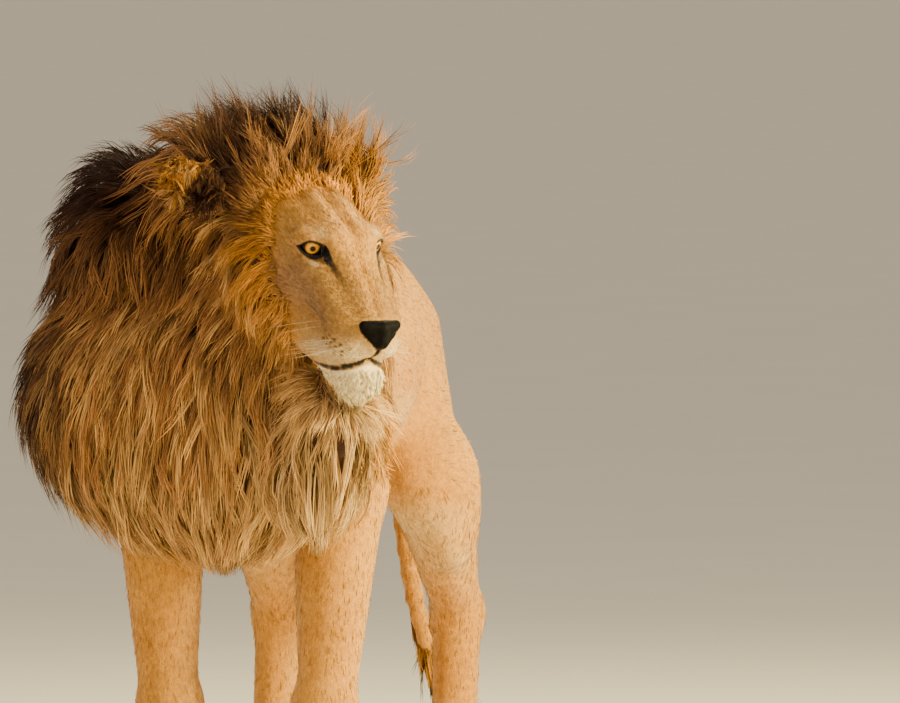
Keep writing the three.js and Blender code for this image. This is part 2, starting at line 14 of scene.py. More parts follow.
import bpy
import numpy as np
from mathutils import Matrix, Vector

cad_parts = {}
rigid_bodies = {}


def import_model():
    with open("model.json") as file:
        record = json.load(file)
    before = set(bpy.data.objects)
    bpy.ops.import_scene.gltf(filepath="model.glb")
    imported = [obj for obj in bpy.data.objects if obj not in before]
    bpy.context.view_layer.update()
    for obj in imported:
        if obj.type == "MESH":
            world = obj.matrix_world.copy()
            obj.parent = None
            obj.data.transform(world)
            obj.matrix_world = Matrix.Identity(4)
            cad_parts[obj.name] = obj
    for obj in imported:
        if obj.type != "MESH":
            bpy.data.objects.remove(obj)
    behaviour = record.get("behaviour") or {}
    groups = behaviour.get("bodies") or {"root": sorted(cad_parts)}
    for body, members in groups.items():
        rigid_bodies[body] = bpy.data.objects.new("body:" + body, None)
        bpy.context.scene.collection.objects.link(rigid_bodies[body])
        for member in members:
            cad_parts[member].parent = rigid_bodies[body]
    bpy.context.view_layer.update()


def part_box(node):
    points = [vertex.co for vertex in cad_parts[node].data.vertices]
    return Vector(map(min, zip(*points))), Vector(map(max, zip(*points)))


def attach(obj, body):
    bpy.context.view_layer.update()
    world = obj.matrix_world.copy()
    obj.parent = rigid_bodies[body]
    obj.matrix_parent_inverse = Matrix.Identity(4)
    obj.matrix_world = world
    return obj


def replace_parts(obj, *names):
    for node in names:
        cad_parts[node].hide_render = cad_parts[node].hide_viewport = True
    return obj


LOG = logging.getLogger("lion")
Array = np.ndarray
Form = Callable[[Array], Array]

SEED = 41
FAR = 1e4
MM = 1000.0  # millimetres in a metre

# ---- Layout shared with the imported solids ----

EYES = np.array((256.0, -814.0, 1010.0))  # midway between the irises
HEAD_TURN = math.radians(45)
HEAD_TIP = math.radians(28)
_LEVEL = np.array((math.sin(HEAD_TURN), -math.cos(HEAD_TURN), 0.0))
_AHEAD = _LEVEL * math.cos(HEAD_TIP) - np.array((0, 0, math.sin(HEAD_TIP)))
_RIGHT = np.cross(_LEVEL, (0.0, 0.0, 1.0))
HEAD_AXES = np.stack((_RIGHT, _AHEAD, np.cross(_RIGHT, _AHEAD)))
ATLAS = (84, -642, 1052)
HAIRLINE = np.array((0.0, -124, 44))
THROAT = np.array((0.0, 12, -178))
BEARD = np.array((0.0, 150, -202))
EYE_PLACE = np.array((55.0, -15, -1))
EYE_RADIUS = 19.0
SHOULDER_Y, HIP_Y = -400, 460
FORE_STANCE, HIND_STANCE = 132, 150
ELBOW, WRIST, STIFLE, HOCK = 585, 235, 560, 325
TAIL_POINTS = (
    (0, 606, 868), (0, 696, 840), (4, 738, 745), (10, 744, 590),
    (20, 744, 450), (36, 760, 325), (58, 800, 220), (80, 850, 160),
)
TUFT_START = 0.73  # share of the tail's length where its tuft starts
SIDES = (("right", 1), ("left", -1))  # the head's own sides, and their signs along its X


def to_head(p: Array) -> Array:
    """Points of the lion in the head's frame: X to its right, Y along the muzzle, Z up."""
    return (p - EYES) @ HEAD_AXES.T


def from_head(q: Array) -> Array:
    """Points of the head's frame in the lion's layout."""
    return np.asarray(q, float) @ HEAD_AXES + EYES


def unit(v: Array) -> Array:
    """Vectors scaled to length one."""
    return v / np.maximum(np.linalg.norm(v, axis=-1, keepdims=True), 1e-9)


def ramp(x: Array, low: float, high: float) -> Array:
    """A smooth step from 0 at low to 1 at high; low may be above high."""
    t = np.clip((x - low) / (high - low), 0, 1)
    return t * t * (3 - 2 * t)


# ---- Round forms as distance fields ----


def smooth_min(a: Array, b: Array, k: float) -> Array:
    """The lower of two fields, rounded where they meet."""
    h = np.maximum(k - np.abs(a - b), 0) / k
    return np.minimum(a, b) - h * h * k / 4


def smooth_max(a: Array, b: Array, k: float) -> Array:
    """The higher of two fields, rounded where they meet."""
    return -smooth_min(-a, -b, k)


@dataclass(frozen=True)
class Egg:
    """An ellipsoid, tipped by lean radians about X or turned to its own axes."""

    centre: tuple
    radii: tuple
    lean: float = 0.0
    axes: tuple = ()

    def __call__(self, p: Array) -> Array:
        """Signed distance, near enough, of each point."""
        c, s = math.cos(self.lean), math.sin(self.lean)
        turn = np.array(self.axes or ((1, 0, 0), (0, c, s), (0, -s, c)))
        q = ((p - np.array(self.centre)) @ turn.T) / np.array(self.radii)
        outer = np.linalg.norm(q, axis=-1)
        inner = np.linalg.norm(q / np.array(self.radii), axis=-1)
        return outer * (outer - 1) / np.maximum(inner, 1e-9)


@dataclass(frozen=True)
class Limb:
    """A round bar whose radius runs from one end to the other; flat narrows it sideways."""

    start: tuple
    end: tuple
    r0: float
    r1: float
    flat: float = 1.0

    def __call__(self, p: Array) -> Array:
        """Signed distance of each point."""
        a, along = np.array(self.start, float), np.subtract(self.end, self.start).astype(float)
        t = np.clip((p - a) @ along / (along @ along), 0, 1)
        off = p - a - t[..., None] * along
        off[..., 0] /= self.flat
        return np.linalg.norm(off, axis=-1) - (self.r0 + (self.r1 - self.r0) * t)


def blend(k: float, *forms: Form) -> Form:
    """One field of several forms that melt into each other over k."""

    def joined(p: Array) -> Array:
        """The blended field at each point."""
        d = np.full(p.shape[:-1], FAR)
        for form in forms:
            d = smooth_min(d, form(p), k)
        return d

    return joined


def mirrored(form: Form) -> Form:
    """The form on +X, on both sides."""
    return lambda p: form(folded(p))


def folded(p: Array) -> Array:
    """Points brought over to +X."""
    return np.concatenate((np.abs(p[..., :1]), p[..., 1:]), -1)


def within(low: Sequence[float], high: Sequence[float], form: Form) -> Form:
    """A form that is only worked out inside a box, and is far away outside it."""

    def part(p: Array) -> Array:
        """The form's field inside the box, and far outside it."""
        d = np.full(p.shape[:-1], FAR)
        near = ((p > low) & (p < high)).all(-1)
        if near.any():
            d[near] = form(p[near])
        return d

    return part


def slope(form: Form, p: Array, step: float = 2.0) -> Array:
    """The gradient of a field at each point."""
    return np.stack([form(p + e) - form(p - e) for e in np.eye(3) * step], -1) / (2 * step)


def settled(form: Form, p: Array, steps: int = 6) -> Array:
    """Points moved onto the surface of a form.

    Args:
        form: the field.
        p: points near its surface.
        steps: how many times they are moved.

    Returns:
        The moved points.
    """
    for _ in range(steps):
        g = slope(form, p, 1.0)
        p = p - g * (form(p) / np.maximum((g**2).sum(-1), 0.1))[:, None]
    return p


# ---- Meshing a field ----

BATCH = 1500  # blocks of the grid that are worked out at a time
STRETCH, MARGIN = 1.35, 6.0  # a block looks for the surface this much beyond its half diagonal
REFINE_STEPS = 2


def graded(low: float, high: float, coarse: float, fine: float, spans: Sequence[tuple]) -> Array:
    """Grid lines from low to high, close together inside the spans."""
    lines = [low]
    while lines[-1] < high:
        near = any(a <= lines[-1] <= b for a, b in spans)
        lines.append(lines[-1] + (fine if near else coarse))
    return np.array(lines)


def sample(form: Form, axes: Sequence[Array], block: int = 4) -> Array:
    """The field on a grid, worked out closely only in the blocks that its surface may cross.

    Args:
        form: the field.
        axes: the grid lines along X, Y and Z.
        block: nodes along each side of a block.

    Returns:
        The value at each node of the grid.
    """
    shape = tuple(len(a) for a in axes)
    starts = [np.arange(0, n, block) for n in shape]
    ends = [np.minimum(s + block, n) - 1 for s, n in zip(starts, shape)]
    mids = [(a[s] + a[e]) / 2 for a, s, e in zip(axes, starts, ends)]
    halves = [(a[e] - a[s]) / 2 for a, s, e in zip(axes, starts, ends)]
    rough = form(np.stack(np.meshgrid(*mids, indexing="ij"), -1))
    reach = np.sqrt(sum(h**2 for h in np.meshgrid(*halves, indexing="ij")))
    value = rough.repeat(block, 0).repeat(block, 1).repeat(block, 2)
    value = value[: shape[0], : shape[1], : shape[2]].copy()
    near = np.argwhere(np.abs(rough) < reach * STRETCH + MARGIN)
    offsets = np.stack(np.meshgrid(*[np.arange(block)] * 3, indexing="ij"), -1).reshape(-1, 3)
    for batch in np.array_split(near, max(1, len(near) // BATCH)):
        index = (batch[:, None] * block + offsets).reshape(-1, 3)
        index = index[(index < shape).all(1)]
        points = np.stack([a[i] for a, i in zip(axes, index.T)], -1)
        value[tuple(index.T)] = form(points)
    return value


def mesh_field(form: Form, axes: Sequence[Array]) -> tuple[Array, Array]:
    """A closed mesh of the surface where the field is zero.

    Args:
        form: the field.
        axes: the grid lines along X, Y and Z.

    Returns:
        The points, and the four corners of each face.
    """
    value = sample(form, axes)
    inside = value < 0
    n = np.array(value.shape)
    corner = np.array([(i, j, k) for i in (0, 1) for j in (0, 1) for k in (0, 1)])
    last = n - 1
    count = sum(
        inside[i : last[0] + i, j : last[1] + j, k : last[2] + k].astype(np.int8) for i, j, k in corner
    )
    cells = np.argwhere((count > 0) & (count < 8))
    total, crossed = np.zeros((len(cells), 3)), np.zeros(len(cells))
    for axis in range(3):
        for low in corner[corner[:, axis] == 0]:
            a, b = cells + low, cells + low + np.eye(3, dtype=int)[axis]
            va, vb = value[tuple(a.T)], value[tuple(b.T)]
            cut = (va < 0) != (vb < 0)
            t = np.where(cut, va / np.where(cut, va - vb, 1), 0)[:, None]
            pa = np.stack([ax[i] for ax, i in zip(axes, a.T)], -1)
            pb = np.stack([ax[i] for ax, i in zip(axes, b.T)], -1)
            total += np.where(cut[:, None], pa + (pb - pa) * t, 0)
            crossed += cut
    points = total / crossed[:, None]
    size = np.array([np.diff(ax)[np.minimum(i, len(ax) - 2)] for ax, i in zip(axes, cells.T)]).max(0)
    for _ in range(REFINE_STEPS):
        g = slope(form, points, 0.4)
        step = -g * (form(points) / np.maximum((g**2).sum(1), 0.05))[:, None]
        length = np.linalg.norm(step, axis=1)
        points = points + step * np.minimum(1, 0.5 * size / np.maximum(length, 1e-9))[:, None]
    number = np.full(last, -1, np.int32)
    number[tuple(cells.T)] = np.arange(len(cells))
    faces = []
    for axis, (s, t) in enumerate(((1, 2), (2, 0), (0, 1))):
        e, es, et = np.eye(3, dtype=int)[[axis, s, t]]
        here = inside[tuple(slice(0, m - d) for m, d in zip(n, e))]
        there = inside[tuple(slice(d, m) for m, d in zip(n, e))]
        edges = np.argwhere(here != there)
        u, v = edges[:, s], edges[:, t]
        edges = edges[(u > 0) & (v > 0) & (u < last[s]) & (v < last[t])]
        ring = np.stack([number[tuple((edges - d).T)] for d in (0 * e, es, es + et, et)], 1)
        out = here[tuple(edges.T)]
        faces.append(np.where(out[:, None], ring, ring[:, ::-1]))
    return points, np.concatenate(faces)


class Lion:
    """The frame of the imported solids, and the one place where meshes become objects."""

    def __init__(self) -> None:
        """Finds how far the solids were moved to stand on the origin, from the two eyes."""
        corners = [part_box(f"eye_{side}")[end] for side in ("left", "right") for end in (0, 1)]
        place = from_head(EYE_PLACE * (0, 1, 1))
        self.shift = np.mean(corners, axis=0) - place / MM

    def metres(self, p: Array) -> Array:
        """Points of the layout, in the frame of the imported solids."""
        return np.asarray(p) / MM + self.shift

    def millimetres(self, p: Array) -> Array:
        """Points of the frame, back in the layout."""
        return (np.asarray(p) - self.shift) * MM

    def mesh(self, name: str, points: Array, faces: Array | tuple[Array, Array]) -> bpy.types.Object:
        """A new round-shaded object in the scene.

        Args:
            name: the piece's name.
            points: its points in the layout.
            faces: equal rows of corners, or a pair (corners, how many each face takes).

        Returns:
            The object, at the origin.
        """
        if not isinstance(faces, tuple):
            faces = (faces.ravel(), np.full(len(faces), faces.shape[1]))
        corners, counts = faces
        data = bpy.data.meshes.new(name)
        data.vertices.add(len(points))
        data.vertices.foreach_set("co", self.metres(points).astype(np.float32).ravel())
        data.loops.add(len(corners))
        data.loops.foreach_set("vertex_index", corners.astype(np.int32))
        data.polygons.add(len(counts))
        data.polygons.foreach_set("loop_start", (np.cumsum(counts) - counts).astype(np.int32))
        data.polygons.foreach_set("loop_total", counts.astype(np.int32))
        data.polygons.foreach_set("use_smooth", np.ones(len(counts), bool))
        data.update(calc_edges=True)
        piece = bpy.data.objects.new(name, data)
        bpy.context.scene.collection.objects.link(piece)
        return piece


def paint(piece: bpy.types.Object, name: str, values: Array, kind: str = "FLOAT_COLOR") -> None:
    """Stores one value, vector or colour for each point of a piece.

    Args:
        piece: the piece.
        name: the attribute's name.
        values: one row for each point.
        kind: the attribute's type.
    """
    layer = piece.data.attributes.new(name, kind, "POINT")
    key = {"FLOAT": "value", "FLOAT_VECTOR": "vector", "FLOAT_COLOR": "color"}[kind]
    layer.data.foreach_set(key, values.astype(np.float32).ravel())


def only(piece: bpy.types.Object) -> None:
    """Makes a piece the only selected and the active one."""
    for other in bpy.context.view_layer.objects.selected:
        other.select_set(False)
    piece.select_set(True)
    bpy.context.view_layer.objects.active = piece


# ---- Flesh ----


def tail_line(t: Array) -> Array:
    """Points along the middle of the tail, for t from 0 at its root to 1 at its tip."""
    knots = np.array(TAIL_POINTS, float)
    knots = np.concatenate((2 * knots[:1] - knots[1:2], knots, 2 * knots[-1:] - knots[-2:-1]))
    x = np.clip(t, 0, 1) * (len(TAIL_POINTS) - 1)
    i = np.minimum(x.astype(int), len(TAIL_POINTS) - 2)
    u = (x - i)[:, None]
    a, b, c, d = knots[i], knots[i + 1], knots[i + 2], knots[i + 3]
    return 0.5 * (2 * b + (c - a) * u + (2 * a - 5 * b + 4 * c - d) * u**2 + (3 * b - a - 3 * c + d) * u**3)


@dataclass
class Torso:
    """Trunk, neck, legs, paws and tail as fields, and the hull of the mane."""

    coat_depth: float = 5.0
    leg_depth: float = 4.0
    paw_depth: float = 2.5
    mane_depth: float = 48.0
    neck_depth: float = 46.0  # how far the neck's skin lies inside the mane's hull
    mane_end: tuple = (-400, -290)  # along the back, where that hull stops holding the neck in
    face_gap: float = 30.0  # between the mane's core and the room of the bare face
    fore_paw: float = 150.0
    hind_paw: float = 128.0
    heel_back: float = 54.0
    fore_y: tuple = (SHOULDER_Y - 10, SHOULDER_Y + 30)
    hind_y: tuple = (HIP_Y + 30, HIP_Y - 10)

    def trunk(self, p: Array) -> Array:
        """Rib cage, belly, croup, shoulders and thighs."""
        side = mirrored(blend(
            60,
            Egg((120, -390, 850), (92, 120, 225), -0.3),
            Limb((158, SHOULDER_Y - 70, 735), (150, SHOULDER_Y + 30, ELBOW + 10), 92, 76),
            Limb((58, HIP_Y + 10, 788), (134, HIP_Y - 120, STIFLE + 20), 88, 86, 0.86),
            Limb((56, HIP_Y + 110, 792), (132, HIP_Y + 50, STIFLE - 60), 80, 62, 0.8),
            Egg((172, HIP_Y - 70, STIFLE - 34), (50, 82, 112)),
        ))
        return blend(
            70,
            Egg((0, -230, 805), (200, 340, 255)),
            Egg((0, -340, 955), (92, 170, 120)),
            Egg((0, -470, 740), (160, 130, 190)),
            Egg((0, 120, 785), (178, 340, 192)),
            Egg((0, 420, 810), (86, 210, 150)),
            Limb((0, 540, 880), (0, 655, 858), 60, 34),
            within((-420, -720, 300), (420, 740, 1180), side),
        )(p)

    def neck(self, p: Array) -> Array:
        """The bare neck up to the back of the skull."""
        return blend(60, Limb((0, -400, 890), ATLAS, 190, 118), Egg(ATLAS, (120, 130, 118)))(p)

    def leg(self, side: int) -> Form:
        """One foreleg and one hind leg down to their paws.

        Args:
            side: 1 for the left of the lion, -1 for its right.

        Returns:
            The field of both legs.
        """
        which = 0 if side > 0 else 1
        x, y = side * FORE_STANCE, self.fore_y[which]
        u, v = side * HIND_STANCE, self.hind_y[which]
        fore = blend(
            30,
            Limb((side * 150, SHOULDER_Y + 30, ELBOW + 10), (x + side * 4, y, WRIST), 80, 48),
            Limb(
                (side * 152, SHOULDER_Y + 52, ELBOW + 18), (side * 150, SHOULDER_Y + 42, ELBOW - 30), 50, 40
            ),
            Egg((x, y - 4, WRIST - 4), (52, 52, 60)),
            Limb((x, y, WRIST), (x, y - 22, 80), 47, 50),
        )
        hind = blend(
            30,
            Limb((side * 148, HIP_Y - 100, STIFLE), (u, v + 62, HOCK + 6), 88, 46, 0.86),
            Limb((side * 138, HIP_Y + 20, STIFLE + 10), (u, v + 70, HOCK + 10), 76, 34, 0.8),
            Egg((u, v + 76, HOCK + 12), (37, 44, 46)),
            Limb((u, v + 64, HOCK), (u, v + 34, 84), 43, 41),
        )
        low, high = sorted((side * 40, side * 320))
        fore = within((low - 90, -660, -20), (high + 90, -160, 800), fore)
        hind = within((low - 90, 160, -20), (high + 90, 760, 800), hind)
        return lambda p: np.minimum(fore(p), hind(p))

    def toes(self, x: float, y: float, width: float) -> Array:
        """Centres of the four toes of a paw."""
        steps = ((-1.5, 74), (-0.5, 92), (0.5, 92), (1.5, 74))
        return np.array([(x + s * width * 0.245, y - reach, 30) for s, reach in steps])

    def paws(self) -> list[tuple[float, float, float, float]]:
        """Each paw's place, width and how far its heel lies back."""
        return [
            (side * stance, ys[side < 0], width, heel)
            for stance, ys, width, heel in (
                (FORE_STANCE, self.fore_y, self.fore_paw, 0.0),
                (HIND_STANCE, self.hind_y, self.hind_paw, self.heel_back),
            )
            for side in (1, -1)
        ]

    def paw(self, x: float, y: float, width: float, heel: float) -> Form:
        """A paw with four toes parted by creases."""
        palm = blend(
            16,
            Egg((x, y - 30, 40), (width * 0.44, 66, 48)),
            Limb((x, y - 12 + heel, 70), (x, y - 17 + heel, 150), width * 0.32, width * 0.32),
        )
        toes = [
            blend(
                10,
                Egg((across, ahead, up), (width * 0.15, 40, 33)),
                Limb((across, ahead + 8, 38), (across, y - 24, 56), 17, 21),
            )
            for across, ahead, up in self.toes(x, y, width)
        ]

        def whole(p: Array) -> Array:
            """The toes with their creases, and the palm behind them."""
            d = toes[0](p)
            for toe in toes[1:]:
                d = smooth_min(d, toe(p), 6)
            return smooth_min(d, palm(p), 12)

        return within((x - width, y - 210, -60), (x + width, y + 160, 260), whole)

    def tail(self, p: Array) -> Array:
        """The flesh of the tail, thin inside its tuft."""
        t = np.linspace(0, 0.97, 22)
        knots = [tuple(knot) for knot in tail_line(t)]
        radii = np.interp(t, (0, 0.1, TUFT_START, 1), (30, 26, 14, 8))
        bars = [Limb(a, b, r, s) for a, b, r, s in zip(knots, knots[1:], radii, radii[1:])]
        return within((-140, 520, 60), (220, 980, 980), blend(8, *bars))(p)

    def mane(self, p: Array) -> Array:
        """The field of the hull that the mane's hair fills."""
        return MANE_HULL(p)

    def flesh(self, p: Array) -> Array:
        """The skin of the body: everything but the head."""
        held = self.mane(p) + self.neck_depth - 400 * ramp(p[..., 1], *self.mane_end)
        neck = smooth_max(self.neck(p), held, 20)
        d = smooth_min(self.trunk(p), neck, 70) + self.coat_depth
        for side in (1, -1):
            d = smooth_min(d, self.leg(side)(p) + self.leg_depth, 30)
        for place in self.paws():
            d = smooth_min(d, self.paw(*place)(p) + self.paw_depth, 12)
        d = smooth_min(d, self.tail(p), 20)
        core = smooth_max(self.mane(p) + self.mane_depth, face_room(to_head(p)) + self.face_gap, 24)
        d = smooth_min(d, core, 40)
        return smooth_max(d, 0.6 - p[..., 2], 3)


def head_point(*q: float) -> tuple[float, float, float]:
    """A place given in the head's frame, in the layout."""
    return tuple(from_head(np.array(q, float)))


MANE_HULL = blend(
    60,
    Egg((-128, -500, 1008), (150, 210, 148)),
    Egg((-186, -500, 1030), (84, 180, 118)),
    Egg((-200, -500, 955), (96, 180, 110)),
    Egg((-112, -530, 750), (240, 225, 238)),
    Egg((62, -505, 835), (198, 238, 262)),
    Egg((44, -490, 985), (152, 205, 158)),
    Limb((-14, -676, 1124), (186, -712, 1098), 108, 100),
    Egg((232, -612, 1072), (68, 88, 92)),
    Egg((10, -640, 720), (190, 120, 190)),
    Egg((0, -520, 590), (120, 130, 100)),
    Egg(head_point(0, -95, -50), (150, 150, 190)),
    Limb(head_point(0, -20, -140), head_point(0, 84, -236), 110, 62),
    Limb((252, -790, 770), (186, -700, 640), 84, 104),
)


def face_planes(q: Array) -> tuple[Array, Array]:
    """How far points of the head lie ahead of the ruff, and above the beard.

    Args:
        q: points in the head's frame.

    Returns:
        Both distances, below zero behind the ruff or under the beard.
    """
    ahead = unit(np.array((0.0, HAIRLINE[2] - THROAT[2], THROAT[1] - HAIRLINE[1])))
    above = unit(np.array((0.0, THROAT[2] - BEARD[2], BEARD[1] - THROAT[1])))
    return (q - THROAT) @ ahead, (q - THROAT) @ above


def hair_edge(q: Array) -> Array:
    """How far points of the head lie ahead of the long hair, which comes forward over the cheeks."""
    ahead, above = face_planes(q)
    side = np.abs(q[..., 0])
    left = ramp(q[..., 0], 0, -40)  # the hair of the left side comes further forward at the temple
    cheek = 34 * ramp(q[..., 2] - 45 * left, 0, -50) * ramp(side, 45, 85)
    temple = 20 * ramp(q[..., 2], -15, 15) * ramp(side, 40, 75) * (1 - left)
    return np.minimum(ahead - cheek + temple, above)


def face_room(q: Array) -> Array:
    """How deep a point of the head is in the room of the bare face."""
    return np.minimum(*face_planes(q))


@dataclass
class Head:
    """The skull's flesh, with lids, lips, the grooves of the face, and ears."""

    depth: float = 2.5
    gaze: tuple = (6.0, 15.5, 1.0)
    canthus_line: tuple = (37.0, -22.0, 9.0)  # from the inner corner of the right eye to the outer one
    opening: tuple = (21.5, 18.0, 5.4)  # half length, height above and height below
    drop: float = 8.5  # how far the corners lie below the middle of the ball
    lid: float = 4.4
    ear_root: tuple = (112.0, -150.0, 0.0)
    ear_tips: dict = field(default_factory=lambda: {1: (246, -236, 27), -1: (-150, -232, 22)})
    ear_shell: tuple = (33, 25, 47)
    ear_cup: tuple = (24, 22, 36)
    lips: tuple = (
        (58, 53, -170), (54, 70, -170), (54, 90, -164), (50, 114, -155), (42, 134, -145), (33, 143, -139),
        (23, 148, -133), (9, 151, -126), (0, 153, -120),
    )

    def __post_init__(self) -> None:
        """Lays the line of the lips onto the surface."""
        line = settled(self.base, np.array(self.lips, float))
        line[-1, 0] = 0
        self.mouth = tuple(map(tuple, line))

    def eye_axes(self) -> Array:
        """Rows: along the right eye's slit, up across it, and the way that it looks."""
        look = unit(np.array(self.gaze))
        along = unit(np.array(self.canthus_line) - look * (look @ np.array(self.canthus_line)))
        return np.stack((along, np.cross(along, look), look))

    def base(self, p: Array) -> Array:
        """The solids' own head, without its sockets, for points on +X."""
        skull = blend(
            34,
            Egg((0, -108, -24), (88, 104, 70)),
            Egg((0, -34, -10), (66, 70, 46)),
            Egg((0, -158, -44), (80, 62, 74)),
            Egg((56, -52, -64), (56, 78, 56)),
            Egg((52, -60, -108), (50, 66, 50)),
            Egg((0, -20, -112), (62, 104, 48)),
        )
        muzzle = blend(
            18,
            Limb((13, 0, -4), (11, 128, -68), 35, 26),
            Limb((42, 16, -42), (37, 98, -76), 38, 32),
            Egg((27, 116, -98), (37, 43, 38)),
            Egg((0, 142, -88), (26, 27, 30)),
            Limb((48, 10, -132), (20, 114, -154), 37, 29),
            Egg((0, 134, -166), (38, 34, 40)),
        )
        brow = Limb((30, 0, 12), (68, -26, 7), 20, 14)
        ridge = Limb((21, -88, 37), (20, 6, 22), 12, 9)
        return blend(16, blend(24, skull, muzzle, brow), ridge)(p)

    def nose(self, p: Array) -> Array:
        """The leather of the nose.

        Args:
            p: points of the head on +X.

        Returns:
            The leather's field: wide on top, narrowing down to the lip, with curled nostrils.
        """
        d = blend(
            7,
            Limb((0, 156, -61), (30, 149, -58), 14, 8),
            Limb((23, 153, -66), (4, 166, -82), 9, 8),
            Egg((0, 160, -76), (11, 14, 17)),
        )(p)
        hole = blend(
            3,
            Limb((11, 177, -74), (23, 167, -67), 4.8, 3.8),
            Limb((23, 167, -67), (36, 154, -66), 3.4, 2.0),
        )
        d = smooth_max(d, -hole(p), 3)
        return smooth_max(d, -Limb((0, 179, -68), (0, 178, -96), 1.4, 2.0)(p), 3)

    def slit(self, p: Array) -> tuple[Array, Array, Array]:
        """Measures points against the opening between the lids.

        Args:
            p: points of the head on +X.

        Returns:
            The field of the opening, the distance from the eyeball's centre and the depth along the gaze.
        """
        local = (p - EYE_PLACE) @ self.eye_axes().T
        half, up, down = self.opening
        x = np.abs(local[..., 0]) / half
        y = local[..., 1] + self.drop
        over = y - up * (1 - x**2.6)
        under = -down * (1 - x**2.0) - y
        return np.maximum(over, under), np.linalg.norm(p - EYE_PLACE, axis=-1), local[..., 2]

    def surface(self, q: Array) -> Array:
        """The whole head's skin."""
        p = folded(q)
        d = smooth_max(self.base(p) + self.depth, -Egg((60, 8, -1), (25, 22, 15))(p), 8)
        slit, ball, front = self.slit(p)
        lids = np.maximum(ball - EYE_RADIUS - self.lid, EYE_RADIUS - 2 - ball)
        d = smooth_min(d, lids, 6)
        d = smooth_max(d, -np.maximum(slit, 6 - front), 2.2)
        d = smooth_max(d, EYE_RADIUS - 0.6 - ball, 1.0)
        lips = blend(3, *[Limb(a, b, 3.4, 3.4) for a, b in zip(self.mouth, self.mouth[1:])])
        d = smooth_max(d, -lips(p), 3.5)
        d = smooth_max(d, -Limb((0, 170, -86), self.mouth[-1], 2.6, 3.4)(p), 3)
        crease = Limb((0, -100, 55), (0, 24, 34), 10, 3)
        d = smooth_max(d, -crease(p), 10)
        for side, tip in self.ear_tips.items():
            d = smooth_min(d, self.ear(side, tip)(q), 12)
        return d

    def ear_frame(self, side: int, tip: Sequence[float]) -> tuple[Array, Array]:
        """Where an ear stands.

        Args:
            side: the ear's sign along the head's X.
            tip: its tip, in the head's frame.

        Returns:
            The middle of the ear, and rows across it, the way that it faces and up along it.
        """
        root, end = np.array(self.ear_root) * (side, 1, 1), np.array(tip, float)
        along = unit(end - root)
        ahead = np.array((side * 0.35, 1, 0.1))
        facing = unit(ahead - along * (ahead @ along))
        return (root + end) / 2, np.stack((np.cross(along, facing), facing, along))

    def ear(self, side: int, tip: Sequence[float]) -> Form:
        """A round cupped ear."""
        middle, axes = self.ear_frame(side, tip)
        rows = tuple(map(tuple, axes))
        shell = Egg(tuple(middle), self.ear_shell, axes=rows)
        cup = Egg(tuple(middle + axes[1] * 18 + axes[2] * 7), self.ear_cup, axes=rows)
        return lambda q: smooth_max(shell(q), -cup(q), 6)


# ---- Markings ----


def bump_at(q: Array, centre: Sequence[float], size: Sequence[float]) -> Array:
    """A soft round spot, 1 at its centre."""
    return np.exp(-(((q - np.array(centre)) / np.array(size)) ** 2).sum(-1))


def chain_distance(q: Array, points: Sequence[Sequence[float]]) -> Array:
    """Distance of each point from a line through several points."""
    return np.min([Limb(a, b, 0, 0)(q) for a, b in zip(points, points[1:])], axis=0)


TEAR_LINE = ((52, 24, -2), (48, 34, -5), (45, 44, -8), (41, 60, -15), (38, 79, -23), (37, 86, -27))
UNDER_LINE = ((92, -20, -6), (84, -4, -9), (76, 10, -11), (66, 26, -14))
SPOT_ROWS = tuple(
    (60, 76 + 12.5 * step + 5 * (row % 2), -90 - 10.0 * row - 1.6 * step)
    for row in range(4)
    for step in range(7)
)


@dataclass
class Place:
    """Points of the skin, and what the markings ask about them."""

    p: Array  # in the layout
    normal: Array
    q: Array  # in the head's frame
    a: Array  # the same, brought over to +X
    room: Array  # how far ahead of the long hair
    near_head: Array
    face: Array
    mane: Array


@dataclass
class Tones:
    """How much of each tone shows at each point."""

    gold: Array
    brown: Array
    dark: Array
    pale: Array
    black: Array
    grey: Array


